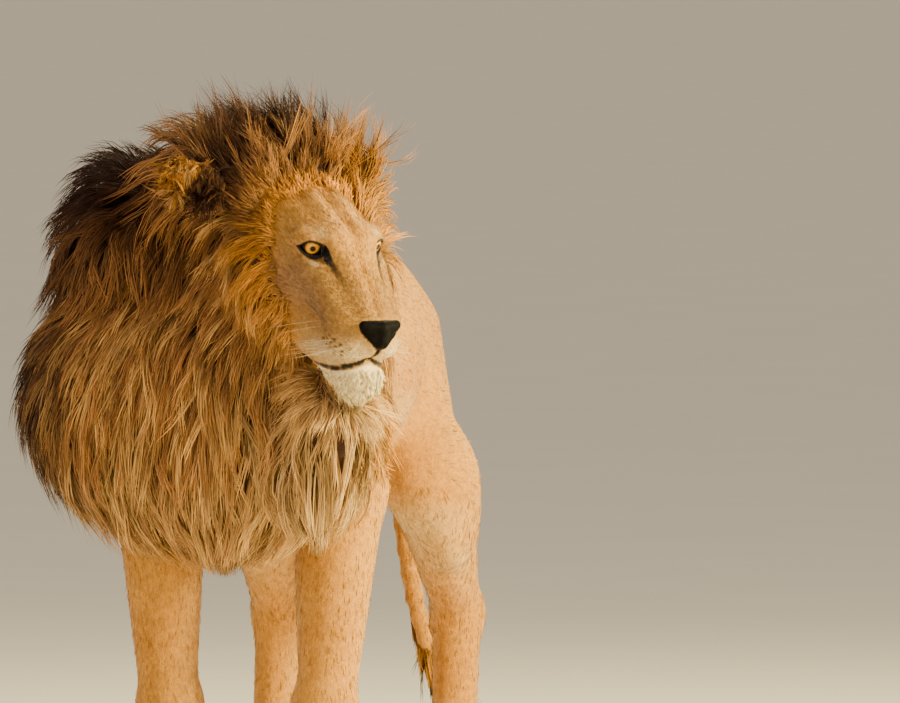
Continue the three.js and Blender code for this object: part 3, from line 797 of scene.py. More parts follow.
@dataclass
class Markings:
    """Where each tone of the coat lies, the same for the skin and for the hair that grows from it."""

    body: Torso
    head: Head

    def below_lips(self, a: Array) -> Array:
        """How far points on +X lie below the line of the lips."""
        line = np.array(self.head.mouth)[::-1]
        along = np.argsort(line[:, 1])
        return np.interp(a[:, 1], line[along, 1], line[along, 2]) - a[:, 2]

    def place(self, p: Array, normal: Array) -> Place:
        """Finds the head, the bare face and the mane among the points.

        Args:
            p: points of the skin, in the layout.
            normal: the way that the skin faces there.

        Returns:
            The points with their measures.
        """
        q = to_head(p)
        room = hair_edge(q)
        near_head = ramp(np.linalg.norm(q - (0, -20, -50), axis=1), 330, 230)
        face = near_head * ramp(room, -8, 8) * ramp(self.head.surface(q), 14, 6)
        mane = ramp(self.body.mane(p), 6 + 30 * ramp(p[:, 1], -420, -300), -12) * (1 - face)
        return Place(p, normal, q, folded(q), room, near_head, face, mane)

    def tones(self, p: Array, normal: Array) -> tuple[Array, Array]:
        """How much of each tone shows.

        Args:
            p: points of the skin, in the layout.
            normal: the way that the skin faces there.

        Returns:
            Gold, brown, dark and pale for each point, and black, grey and the share of mane for each point.
        """
        at = self.place(p, normal)
        tone = Tones(*np.zeros((6, len(p))))
        self.mark_mane(tone, at)
        self.mark_front(tone, at)
        self.mark_face(tone, at)
        self.mark_muzzle(tone, at)
        tone.black += at.face * np.clip(self.black_lines(at), 0, 1)
        tone.pale *= 1 - tone.black
        self.mark_ear(tone, at)
        self.mark_body(tone, at)
        first = np.stack((tone.gold, tone.brown, tone.dark, tone.pale), 1)
        second = np.stack((tone.black, tone.grey, at.mane, np.ones(len(p))), 1)
        return np.clip(first, 0, 1), np.clip(second, 0, 1)

    def mark_mane(self, tone: Tones, at: Place) -> None:
        """Marks the mane: gold round the face, brown behind, nearly black on the nape and right shoulder.

        Args:
            tone: the tones so far.
            at: the points.
        """
        p, q, mane = at.p, at.q, at.mane
        behind = np.maximum(-at.room, 0)
        crown = ramp(q[:, 2], -45, 20) * at.near_head
        ring = ramp(behind, 100 - 82 * crown * ramp(q[:, 0], -120, -20), 2) * at.near_head
        high = ramp(q[:, 2], -130, -50)
        tone.gold += mane * ring * (0.2 + 0.8 * high) * (1 - 0.4 * crown)
        nape = np.maximum.reduce([
            bump_at(p, (-190, -440, 1030), (170, 240, 135)),
            bump_at(p, (-310, -520, 840), (150, 260, 220)),
            0.5 * bump_at(p, (60, -600, 1190), (170, 130, 90)),
            0.95 * bump_at(p, (-110, -560, 1110), (170, 200, 120)),
            0.5 * bump_at(p, (0, -500, 560), (190, 190, 110)),
        ])
        nape = np.maximum(nape, 0.62 * crown * ramp(q[:, 0], -170, -30) * ramp(behind, 12, 45))
        tone.dark += mane * ramp(nape, 0.22, 0.7) * (1 - ring)
        parting = bump_at(q, (0, -150, 60), (30, 60, 40))
        sunny = 0.8 * ring * (0.35 + 0.65 * high) * (1 - 0.5 * crown)
        tone.brown += mane * (1 - sunny) + at.near_head * parting
        tone.dark += 0.35 * mane * parting

    def mark_front(self, tone: Tones, at: Place) -> None:
        """Marks the mane's front: the shade under the ear, the left temple, the beard and the throat.

        Args:
            tone: the tones so far.
            at: the points.
        """
        p, q, mane = at.p, at.q, at.mane
        veil = mane * bump_at(q, (108, -116, 14), (42, 40, 50))
        tone.gold = tone.gold * (1 - 0.95 * veil)
        tone.brown = tone.brown + veil
        tone.dark = tone.dark + 0.95 * veil
        temple = mane * at.near_head * ramp(q[:, 0], -40, -75) * ramp(q[:, 2], -110, -50)
        tone.gold = tone.gold + temple
        tone.brown = tone.brown + 0.3 * temple
        tone.dark = tone.dark + 0.46 * temple
        beard = mane * at.near_head * bump_at(q, (0, 60, -250), (110, 120, 120))
        throat = mane * bump_at(p, (200, -770, 650), (140, 140, 150))
        light = np.maximum(beard, throat)
        tone.brown *= 1 - 0.65 * light
        tone.gold += 0.35 * light
        tone.pale += 0.24 * light + 0.08 * mane * ramp(p[:, 2], 760, 640)
        tone.pale += 0.3 * mane * bump_at(q, (0, 124, -214), (44, 40, 24))

    def mark_face(self, tone: Tones, at: Place) -> None:
        """Marks the brow, the bridge of the nose, the fold between the brows and the cheeks; the fold, the
        cheeks and the muzzle's sides get painted shade, and the bridge's brown is partly its own colour,
        partly painted shade.

        Args:
            tone: the tones so far.
            at: the points.
        """
        a, face = at.a, at.face
        golden = 1.3 * bump_at(a, (20, -50, 40), (70, 76, 44)) + 0.5 * bump_at(a, (0, 60, -20), (26, 70, 40))
        tone.gold += face * np.clip(0.6 * golden + 0.75 * ramp(at.room, 34, 4), 0, 1)
        # the bridge's brown: partly its own colour, partly painted shade of its side
        bridge = 0.6 * bump_at(a, (8, 112, -50), (24, 34, 26)) + 0.2 * bump_at(a, (38, 2, 26), (9, 16, 9))
        tone.brown += face * bridge
        # painted shade: grey-brown down the sides of the muzzle
        tone.grey += 0.45 * face * bump_at(a, (26, 70, -34), (16, 50, 22))
        # painted shade: brown and dark in the fold between the brows
        fold = 0.8 * ramp(a[:, 0], 8, 2) * ramp(a[:, 1], 16, -40) * (a[:, 2] > 0)
        tone.brown += face * fold
        tone.dark += face * 0.3 * fold
        # painted shade: grey-brown over the cheeks below the eyes
        cheek = 0.85 * bump_at(a, (84, 6, -60), (54, 74, 50)) + 0.6 * bump_at(a, (60, 76, -82), (34, 50, 30))
        tone.grey += face * np.clip(cheek, 0, 0.8)

    def mark_muzzle(self, tone: Tones, at: Place) -> None:
        """Marks the pale pads of the muzzle, the chin, and the light hair about the eye.

        Args:
            tone: the tones so far.
            at: the points.
        """
        a = at.a
        pad = 0.9 * bump_at(a, (28, 152, -112), (32, 34, 24))
        pad = pad + 0.5 * bump_at(a, (54, 108, -136), (24, 50, 24))
        chin = ramp(a[:, 1], 34, 92) * ramp(self.below_lips(a), -2, 4) * ramp(at.room, -16, 4)
        lit = 0.3 * bump_at(a, (54, 2, 26), (14, 16, 8)) + 0.12 * bump_at(a, (24, -46, 36), (24, 60, 30))
        lit += 0.06 * bump_at(a, (70, -50, 10), (30, 50, 34))
        under_eye = 0.6 * ramp(chain_distance(a, UNDER_LINE), 8, 2) + lit
        tone.pale += at.face * np.clip(pad + chin + under_eye, 0, 1)

    def black_lines(self, at: Place) -> Array:
        """The black of the lids, lips, nose, tear lines and whisker spots.

        Args:
            at: the points.

        Returns:
            How black each point is, before it is kept to the face.
        """
        a = at.a
        local = (a - EYE_PLACE) @ self.head.eye_axes().T
        slit, ball, front = self.head.slit(a)
        thick = 2.6 + 2.6 * ramp(local[:, 0], 4, -20) + 1.6 * (local[:, 1] > 0)
        rim = ramp(slit - thick, 1.4, -0.6) * ramp(ball, EYE_RADIUS + 12, EYE_RADIUS + 9) * (front > 0)
        lips = ramp(chain_distance(a, self.head.mouth), 6.2, 3.6)
        line = np.array(self.head.mouth)[::-1]
        front_lip = np.interp(a[:, 0], line[:, 0], line[:, 2])
        lips = np.maximum(lips, ramp(np.abs(a[:, 2] - front_lip), 5, 3) * ramp(a[:, 1], 126, 134))
        philtrum = ramp(a[:, 0], 5.2, 3.2) * ramp(a[:, 1], 120, 130)
        philtrum = philtrum * (a[:, 2] > line[0, 2]) * (a[:, 2] < -76)
        leather = ramp(self.head.nose(a), 2.2, 0.4)
        tear = ramp(chain_distance(a, TEAR_LINE), 8.5, 3.0)
        tear = tear * np.interp(a[:, 1], (30, 50, 70, 100), (1, 0.85, 0.4, 0))
        tear = np.maximum(tear, ramp(Limb((37, 9, -2), (47, 34, -6), 10, 6)(a), 2.5, -1))
        spots = np.zeros(len(a))
        close = np.flatnonzero(at.face > 0.3)
        for spot in SPOT_ROWS:
            off = np.linalg.norm((a[close] - spot) * (0.12, 1, 1), axis=1)
            spots[close] = np.maximum(spots[close], ramp(off, 3.6, 1.8))
        return np.maximum.reduce([rim, lips, philtrum, leather, tear, 0.7 * spots])

    def mark_ear(self, tone: Tones, at: Place) -> None:
        """Marks the right ear, dark behind and at its root, with painted shade in its cup; the left ear is
        lost in the mane.

        Args:
            tone: the tones so far.
            at: the points.
        """
        middle, axes = self.head.ear_frame(1, self.head.ear_tips[1])
        local = (at.q - middle) @ axes.T
        on = ramp(np.linalg.norm(local / (41, 36, 52), axis=1), 1.12, 1.0)
        front_side = ramp(local[:, 1], -14, -4)
        keep = 1 - on
        base = on * ramp(local[:, 2], 8, -8)
        back = on * (1 - front_side) * ramp(local[:, 2], 34, 20) * 0.9
        # painted shade: extra dark and brown in the ear's cup
        cup_shade = 0.4 * on * front_side * bump_at(local, (0, 10, -8), (18, 40, 26))
        inside = on * (0.4 + 0.6 * front_side * bump_at(local, (0, 10, -8), (22, 40, 30)))
        tone.grey = tone.grey * keep
        tone.pale = tone.pale * keep
        tone.gold = tone.gold * keep + 0.12 * on
        tone.brown = tone.brown * keep + base + inside
        tone.dark = tone.dark * keep + 0.72 * base + 0.12 * on + back + cup_shade

    def mark_body(self, tone: Tones, at: Place) -> None:
        """Marks the back, the pale belly and inner legs, and the dark tuft of the tail.

        Args:
            tone: the tones so far.
            at: the points.
        """
        p, up = at.p, at.normal[:, 2]
        bare = (1 - at.mane) * (1 - at.face) * (1 - at.near_head)
        tone.gold += 0.4 * bare
        tone.pale += bare * 0.5 * ramp(up, -0.1, -0.95) * ramp(p[:, 2], 330, 520)
        inner = ramp(-at.normal[:, 0] * np.sign(p[:, 0]), 0.3, 0.9) * ramp(p[:, 2], 760, 440)
        tone.pale += bare * 0.07 * inner
        tone.brown += bare * 0.22 * ramp(up, 0.5, 1.0) * ramp(p[:, 2], 800, 950)
        tuft = ramp(p[:, 1], 770, 790) * ramp(p[:, 2], 330, 300)
        tone.dark = np.maximum(tone.dark, tuft)


# ---- Finishes ----


def linear(code: str) -> tuple[float, float, float, float]:
    """A colour like #c39a63 as the shader takes it."""
    parts = [int(code[i : i + 2], 16) / 255 for i in (1, 3, 5)]
    return (*[c / 12.92 if c <= 0.04045 else ((c + 0.055) / 1.055) ** 2.4 for c in parts], 1.0)


class Wires:
    """Short ways to place and join the nodes of one material."""

    def __init__(self, name: str) -> None:
        """Starts a material with its shader in place."""
        self.material = bpy.data.materials.new(name)
        self.material.use_nodes = True
        self.tree = self.material.node_tree
        self.shader = next(n for n in self.tree.nodes if n.type == "BSDF_PRINCIPLED")

    def put(self, kind: str, inputs: dict | None = None, **settings: object) -> bpy.types.Node:
        """Adds a node to the material.

        Args:
            kind: the node's type.
            inputs: a socket or a plain value for each input's name or number.
            settings: the node's own settings.

        Returns:
            The new node.
        """
        node = self.tree.nodes.new(kind)
        for key, value in settings.items():
            setattr(node, key, value)
        for key, value in (inputs or {}).items():
            if isinstance(value, bpy.types.NodeSocket):
                self.tree.links.new(value, node.inputs[key])
            else:
                node.inputs[key].default_value = value
        return node

    def math(self, operation: str, a: object, b: object = 0.0) -> bpy.types.NodeSocket:
        """The result of one Math node."""
        return self.put("ShaderNodeMath", {0: a, 1: b}, operation=operation).outputs[0]

    def mix(self, amount: object, a: object, b: object, kind: str = "MIX") -> bpy.types.NodeSocket:
        """The colour between a and b."""
        node = self.put("ShaderNodeMix", {0: amount, 6: a, 7: b}, data_type="RGBA", blend_type=kind)
        return node.outputs[2]

    def spread(
        self, value: object, low: float, high: float, start: float = 0.0, end: float = 1.0
    ) -> bpy.types.NodeSocket:
        """The value moved from the range start to end, into low to high."""
        inputs = {0: value, 1: start, 2: end, 3: low, 4: high}
        return self.put("ShaderNodeMapRange", inputs).outputs[0]

    def noise(
        self, place: object, scale: float, detail: float = 2.0, stretch: tuple = (1, 1, 1)
    ) -> bpy.types.NodeSocket:
        """A cloudy value from 0 to 1."""
        mapped = self.put("ShaderNodeMapping", {0: place, 3: stretch}).outputs[0]
        cloud = {"Vector": mapped, "Scale": scale, "Detail": detail}
        return self.put("ShaderNodeTexNoise", cloud).outputs["Fac"]

    def attribute(self, name: str) -> bpy.types.Node:
        """The node that reads a stored attribute."""
        return self.put("ShaderNodeAttribute", attribute_name=name)

    def parts(self, colour: object) -> bpy.types.bpy_prop_collection:
        """The three parts of a colour."""
        return self.put("ShaderNodeSeparateColor", {0: colour}).outputs

    def grey(self, level: object) -> bpy.types.NodeSocket:
        """A grey of the given level."""
        return self.put("ShaderNodeCombineColor", {0: level, 1: level, 2: level}).outputs[0]

    def times(self, colour: object, other: object) -> bpy.types.NodeSocket:
        """One colour multiplied by another."""
        return self.mix(1.0, colour, other, "MULTIPLY")

    def set(self, **values: float) -> None:
        """Sets the shader's own sockets; an underscore in a name stands for a space."""
        for key, value in values.items():
            self.shader.inputs[key.replace("_", " ")].default_value = value

    def finish(
        self, colour: object, bump: object = None, strength: float = 0.3, distance: float = 0.002
    ) -> bpy.types.Material:
        """Joins the colour and the bump to the shader.

        Args:
            colour: the socket of the base colour.
            bump: the socket of the bump's height, if there is one.
            strength: the bump's strength.
            distance: its depth, in metres.

        Returns:
            The finished material.
        """
        self.tree.links.new(colour, self.shader.inputs["Base Color"])
        if bump is not None:
            node = self.put("ShaderNodeBump", {"Strength": strength, "Distance": distance, "Height": bump})
            self.tree.links.new(node.outputs[0], self.shader.inputs["Normal"])
        return self.material


@dataclass(frozen=True)
class Pelt:
    """The colours of the coat, and the material that skin and hair share."""

    tan: str = "#c69038"
    tan_deep: str = "#ac782c"
    gold: str = "#d48c26"
    brown: str = "#99693a"
    dark: str = "#31170a"
    pale: str = "#f4dba6"
    black: str = "#120c09"
    # grey: painted shade of the cheeks and the muzzle's sides, in grey-brown
    grey: str = "#7a5a40"
    mottle: str = "#8f7458"  # what darkens the coat in small patches
    nap: str = "#9a7a5a"  # painted shade between the hairs of the skin's nap, in fine streaks
    mane_roots_and_shade: str = "#5a4030"  # what darkens the skin under the mane: the mane's dark roots, and painted shade under its hair

    def tone(self, wires: Wires, place: object) -> bpy.types.NodeSocket:
        """The colour of the coat at a place, from the stored tones and two sizes of mottling.

        Args:
            wires: the material's nodes.
            place: the socket of the place that mottling depends on.

        Returns:
            The socket of the colour.
        """
        first, second = wires.attribute("tones"), wires.attribute("marks")
        split, marks = wires.parts(first.outputs["Color"]), wires.parts(second.outputs["Color"])
        wide, close = wires.noise(place, 9, 3), wires.noise(place, 70, 2)
        ground = wires.mix(wires.spread(wide, 0, 1, 0.3, 0.7), linear(self.tan), linear(self.tan_deep))
        for amount, colour in (
            (split[1], self.brown),
            (split[0], self.gold),
            (split[2], self.dark),
            (marks[1], self.grey),
            (first.outputs["Alpha"], self.pale),
            (marks[0], self.black),
        ):
            ground = wires.mix(amount, ground, linear(colour))
        dull = wires.mix(0.2, ground, wires.times(ground, linear(self.mottle)))
        ground = wires.mix(wires.spread(close, 0, 1, 0.35, 0.7), ground, dull)
        fleck = wires.spread(wires.noise(place, 190, 2, (1, 0.45, 0.6)), 0.86, 1.14, 0.32, 0.68)
        return wires.times(ground, wires.grey(fleck))

    def skin(self) -> bpy.types.Material:
        """The skin, with a fine nap of bump, and fine streaks of painted shade between its hairs."""
        wires = Wires("lion_skin")
        place = wires.put("ShaderNodeTexCoord").outputs["Object"]
        fine = wires.noise(place, 900, 2, (1, 0.22, 0.4))
        soft = wires.noise(place, 240, 2, (1, 0.3, 0.5))
        tone = self.tone(wires, place)
        # painted shade: fine streaks darker, as between the hairs of the nap
        shaded = wires.times(tone, linear(self.nap))
        colour = wires.mix(wires.spread(fine, 0.0, 0.5, 0.35, 0.75), tone, shaded)
        mane = wires.parts(wires.attribute("marks").outputs["Color"])[2]
        # the skin under the mane darkened: the mane's dark roots and painted shade under its hair
        colour = wires.mix(mane, colour, wires.times(colour, linear(self.mane_roots_and_shade)))
        wires.set(Roughness=0.82, Specular_IOR_Level=0.25, Sheen_Weight=0.15, Sheen_Roughness=0.5)
        return wires.finish(colour, wires.math("ADD", fine, soft), 0.5, 0.0015)

    def hair(
        self, name: str, root_shade: float = 0.45, vary: float = 1.0, rough: float = 0.55, soft: float = 0.35
    ) -> bpy.types.Material:
        """Hair: the skin's markings, darker at the root, each lock and strand a little different.

        Args:
            name: the material's name.
            root_shade: how bright the root is; the darker root is painted shade deep in the coat.
            vary: how much strands and locks differ.
            rough: the roughness.
            soft: share of the skin's own facing in how the hair takes light.

        Returns:
            The material.
        """
        wires = Wires(name)
        place = wires.attribute("root").outputs["Vector"]
        strand = wires.parts(wires.attribute("strand").outputs["Color"])
        colour = self.tone(wires, place)
        # painted shade: each strand darkens towards its root, where the coat shades it
        along = wires.spread(strand[0], root_shade, 1.12, 0.0, 0.75)
        level = wires.math("MULTIPLY", along, wires.spread(strand[1], 1 - 0.34 * vary, 1 + 0.3 * vary))
        level = wires.math("MULTIPLY", level, wires.spread(strand[2], 1 - 0.36 * vary, 1 + 0.36 * vary))
        colour = wires.times(colour, wires.grey(level))
        wires.set(Roughness=rough, Specular_IOR_Level=0.14)
        shape = wires.put("ShaderNodeNewGeometry").outputs["Normal"]
        ground = wires.attribute("lie").outputs["Vector"]
        leaning = wires.put("ShaderNodeMix", {0: soft, 4: shape, 5: ground}, data_type="VECTOR").outputs[1]
        facing = wires.put("ShaderNodeVectorMath", {0: leaning}, operation="NORMALIZE").outputs[0]
        wires.tree.links.new(facing, wires.shader.inputs["Normal"])
        return wires.finish(colour)


@dataclass(frozen=True)
class Leather:
    """The wet black leather of the nose."""

    colour: str = "#030202"
    worn: str = "#0e0a09"

    def material(self) -> bpy.types.Material:
        """Fine pebbles, a little lighter on their tops."""
        wires = Wires("nose_leather")
        place = wires.put("ShaderNodeTexCoord").outputs["Object"]
        pebble = wires.put("ShaderNodeTexVoronoi", {"Vector": place, "Scale": 420.0}).outputs["Distance"]
        wear = wires.spread(wires.noise(place, 120), 0, 0.8, 0.4, 0.8)
        colour = wires.mix(wear, linear(self.colour), linear(self.worn))
        wires.set(Roughness=0.6, Specular_IOR_Level=0.06)
        return wires.finish(colour, wires.math("SUBTRACT", 1.0, pebble), 0.35, 0.0008)


@dataclass(frozen=True)
class Iris:
    """A small-pupilled amber eye; its map holds the distance from the middle in eye radii."""

    rings: tuple = (
        (0.0, "#020101"), (0.20, "#020101"), (0.23, "#8a4e0c"), (0.36, "#e8a818"), (0.50, "#cf8e14"),
        (0.61, "#7c460c"), (0.67, "#120906"), (0.75, "#0c0807"), (1.0, "#100b09"),
    )
    spoke: str = "#5a3010"

    def material(self) -> bpy.types.Material:
        """Rings of colour with fine spokes, under a wet shine."""
        wires = Wires("eye_amber")
        spot = wires.put("ShaderNodeUVMap", uv_map="gaze").outputs[0]
        x, y, _ = wires.put("ShaderNodeSeparateXYZ", {0: spot}).outputs
        x, y = wires.math("SUBTRACT", x, 0.5), wires.math("SUBTRACT", y, 0.5)
        square = wires.math("ADD", wires.math("MULTIPLY", x, x), wires.math("MULTIPLY", y, y))
        radius = wires.math("MULTIPLY", wires.math("SQRT", square), 2.0)
        around = wires.math("MULTIPLY", wires.math("ARCTAN2", y, x), 9.0)
        polar = wires.put("ShaderNodeCombineXYZ", {0: around, 1: wires.math("MULTIPLY", radius, 3.0)})
        cloud = {"Vector": polar.outputs[0], "Scale": 2.2, "Detail": 3.0}
        spokes = wires.put("ShaderNodeTexNoise", cloud).outputs["Fac"]
        shaken = wires.math("ADD", radius, wires.spread(spokes, -0.035, 0.035))
        bands = wires.put("ShaderNodeValToRGB", {0: shaken})
        stops = bands.color_ramp.elements
        while len(stops) < len(self.rings):
            stops.new(1.0)
        for stop, (place, code) in zip(stops, self.rings):
            stop.position, stop.color = place, linear(code)
        depth = wires.spread(spokes, 0, 0.45, 0.45, 0.75)
        colour = wires.mix(depth, bands.outputs[0], linear(self.spoke), "MULTIPLY")
        wires.set(Roughness=0.45, Specular_IOR_Level=0.12, Coat_Weight=0.12, Coat_Roughness=0.03)
        return wires.finish(colour)


@dataclass(frozen=True)
class Horn:
    """Claw horn, and the paler horn of whiskers."""

    base: str = "#5b4636"
    tip: str = "#211812"

    def material(self, name: str) -> bpy.types.Material:
        """Fine lines along the horn."""
        wires = Wires(name)
        place = wires.put("ShaderNodeTexCoord").outputs["Object"]
        lines = wires.noise(place, 300, 3, (1, 0.2, 1))
        wires.set(Roughness=0.35, Specular_IOR_Level=0.45)
        return wires.finish(wires.mix(lines, linear(self.base), linear(self.tip)), lines, 0.2, 0.0004)


@dataclass(frozen=True)
class FloorPaint:
    """The plain pale floor."""

    colour: str = "#f4ead8"
    mottle: str = "#efe4d1"

    def material(self) -> bpy.types.Material:
        """Matt, with the faintest mottling."""
        wires = Wires("floor_paint")
        place = wires.put("ShaderNodeTexCoord").outputs["Object"]
        shade = wires.mix(wires.noise(place, 3), linear(self.colour), linear(self.mottle))
        wires.set(Roughness=0.9, Specular_IOR_Level=0.2)
        return wires.finish(shade)


# ---- Hair ----

LAID_DOWN = 0.92  # share of the outward part that combing takes away
TIP_GAP = 14.0  # the least that a tip lies nearer the mane's outside than its root
LOWEST = 1.5  # no strand goes nearer the floor
STRAND_RADIUS = 0.58  # of its width, as three sides fill less than a round
MAP_EDGE, MAP_PATCH = 0.004, 0.003  # border of the map, and the size of one strand's patch


@dataclass
class Roots:
    """Places on the skin that hair grows from."""

    p: Array
    normal: Array

    def __len__(self) -> int:
        """How many."""
        return len(self.p)

    def where(self, keep: Array) -> "Roots":
        """Only some of them."""
        return Roots(self.p[keep], self.normal[keep])


class Flow(Enum):
    """How a kind of hair is combed."""

    BODY = "body"
    FACE = "face"
    MANE = "mane"
    CROWN = "crown"
    SPIKE = "spike"
    RUFF = "ruff"
    EAR = "ear"
    TAIL = "tail"
    DOWN = "down"


@dataclass
class Comb:
    """The lie of the coat all over the lion."""

    body: Torso

    def direction(self, flow: Flow, p: Array) -> Array:
        """The way that hair runs at each point, before it is laid along the surface.

        Args:
            flow: how the hair is combed.
            p: points in the layout.

        Returns:
            A direction of length one for each point.
        """
        q = to_head(p)
        side = np.sign(q[:, :1])
        if flow is Flow.FACE:
            away = q - np.array((0, 178, -66))
            away[:, 1] -= 30
            chin = ramp(q[:, 2] + 0.3 * q[:, 1], -118, -132)[:, None]
            away = unit(away) * (1 - chin) + chin * np.array((0, -0.7, -1.0))
            return unit(away @ HEAD_AXES)
        if flow is Flow.BODY:
            leg = ramp(p[:, 2], 600, 480)[:, None]
            paw = ramp(p[:, 2], 150, 90)[:, None]
            neck = ramp(p[:, 1], -250, -420)[:, None]
            trunk = np.array((0, 1, -0.28)) * (1 - neck) + np.array((0, 0.55, -0.8)) * neck
            down = np.array((0, 0.12, -1.0)) * (1 - paw) + paw * np.array((0, -1.0, -0.45))
            return unit(trunk * (1 - leg) + down * leg)
        if flow is Flow.TAIL:
            return unit(np.array((0.15, 0.35, -1.0)) + 0 * p)
        if flow is Flow.DOWN:
            return unit(np.array((0, 0.05, -1.0)) + 0 * p)
        if flow is Flow.EAR:
            return unit(np.concatenate((side * 0.4, 0 * side + 0.3, 0 * side + 0.4), 1) @ HEAD_AXES)
        outward = unit(np.stack((q[:, 0], 0 * q[:, 1] - 30, q[:, 2] + 45), 1)) @ HEAD_AXES
        behind = np.maximum(-face_planes(q)[0], 0)
        near = ramp(np.linalg.norm(q - (0, -40, -50), axis=1), 330, 190)[:, None]
        top = ramp(p[:, 2], 950, 1140)[:, None]
        low = np.stack((0.12 * np.sign(p[:, 0]) + 0 * behind, 0.2 + 0 * behind, -1 + 0 * behind), 1)
        nape = np.array((-0.8, 0.4, -0.35))
        rest = low * (1 - top) + nape * top
        fall = ramp(q[:, 2], 20, -160)[:, None] * 0.8
        ruff = outward * (1 - 0.5 * fall) + np.array((0, 0.15, -1.0)) * fall + HEAD_AXES[1] * -0.25
        if flow is Flow.CROWN:
            return unit(0.5 * outward - 0.9 * HEAD_AXES[1] + np.array((-0.3, 0, 0.1)))
        if flow is Flow.SPIKE:
            return unit(0.5 * outward + np.array((-0.25, 0.1, 0.9)))
        if flow is Flow.RUFF:
            return unit(ruff)
        return unit(ruff * near + rest * (1 - near))


@dataclass
class Lay:
    """How long, how raised and how loose a kind of hair is."""

    flow: Flow
    length: tuple  # shortest and longest
    lift: tuple  # share of outward lean at the root and at the tip
    level: tuple | None = None  # where the tips lie against the hull of the mane
    sag: float = 0.0
    stray: float = 0.15
    curl: float = 0.0
    steps: int = 9


def comb_out(roots: Roots, lay: Lay, comb: Comb, scale: Array, rng: np.random.Generator) -> Array:
    """Draws the middle line of each lock.

    Args:
        roots: where the locks grow.
        lay: how this kind of hair lies.
        comb: the lie of the coat.
        scale: a length factor for each lock.
        rng: the source of chance.

    Returns:
        Lines of lay.steps points each.
    """
    n = len(roots)
    p, normal = roots.p.copy(), roots.normal.copy()
    length = rng.uniform(*lay.length, n) * scale
    loose = rng.normal(0, lay.stray, (n, 3))
    phase, turn = rng.uniform(0, 2 * math.pi, n), unit(rng.normal(0, 1, (n, 3)))
    hull = comb.body.mane
    start = hull(p) if lay.level else None
    aim = np.maximum(rng.uniform(*lay.level, n), start + TIP_GAP) if lay.level else None
    line = [p.copy()]
    for i in range(1, lay.steps):
        t = i / (lay.steps - 1)
        if lay.level:
            normal = unit(slope(hull, p, 4.0))
        way = comb.direction(lay.flow, p)
        way = unit(way - normal * (way * normal).sum(1, keepdims=True) * LAID_DOWN)
        lift = lay.lift[0] + (lay.lift[1] - lay.lift[0]) * t
        swing = turn * (np.sin(phase + t * 4.5) * lay.curl)[:, None]
        drop = np.array((0, 0, -lay.sag * t))
        way = unit(way * (1 - lift) + normal * lift + loose * (0.4 + t) + swing + drop)
        step = length / (lay.steps - 1)
        p = p + way * step[:, None]
        if lay.level:
            wish = start + (aim - start) * (1 - (1 - t) ** 1.7)
            hang = 1 - 0.75 * ramp(-normal[:, 2], 0.3, 0.9)
            off = np.clip((wish - hull(p)) * 0.6 * hang, -0.9 * step, 0.9 * step)
            p = p + normal * off[:, None]
        line.append(p.copy())
    return np.stack(line, 1)


def fan(
    lines: Array, normals: Array, per: int, spread: tuple, rings: int, short: float, frizz: float,
    rng: np.random.Generator,
) -> tuple[Array, Array]:
    """Grows several strands round each lock's line.

    Args:
        lines: the locks' lines.
        normals: the way that the skin faces at each root.
        per: strands in a lock.
        spread: radius of the lock at its root and at its tip.
        rings: points of each strand.
        short: the shortest strand's share of its lock.
        frizz: how far a strand's tip strays.
        rng: the source of chance.

    Returns:
        The strands' lines, and the number of the lock that each is in.
    """
    n, m = lines.shape[:2]
    lock = np.repeat(np.arange(n), per)
    reach = rng.uniform(short, 1.0, n * per)
    t = np.linspace(0, 1, rings)[None] * reach[:, None] * (m - 1)
    i = np.minimum(t.astype(int), m - 2)
    u = (t - i)[..., None]
    middle = lines[lock[:, None], i] * (1 - u) + lines[lock[:, None], i + 1] * u
    along = unit(lines[:, -1] - lines[:, 0])
    side = unit(np.cross(along, normals))
    up = np.cross(side, along)
    turn, far = rng.uniform(0, 2 * math.pi, n * per), np.sqrt(rng.uniform(0, 1, n * per))
    offset = side[lock] * (np.cos(turn) * far)[:, None] + up[lock] * (np.sin(turn) * far * 0.6)[:, None]
    share = np.linspace(0, 1, rings) ** 0.8
    radius = spread[0] + (spread[1] - spread[0]) * share
    stray = rng.normal(0, frizz, (n * per, 1, 3)) * (np.linspace(0, 1, rings) ** 1.6)[None, :, None]
    return middle + offset[:, None] * radius[None, :, None] + stray, lock


class Wrap(Enum):
    """What a coat piece's map is unrolled about."""

    BODY = "body"
    HEAD = "head"
    LEGS = "legs"


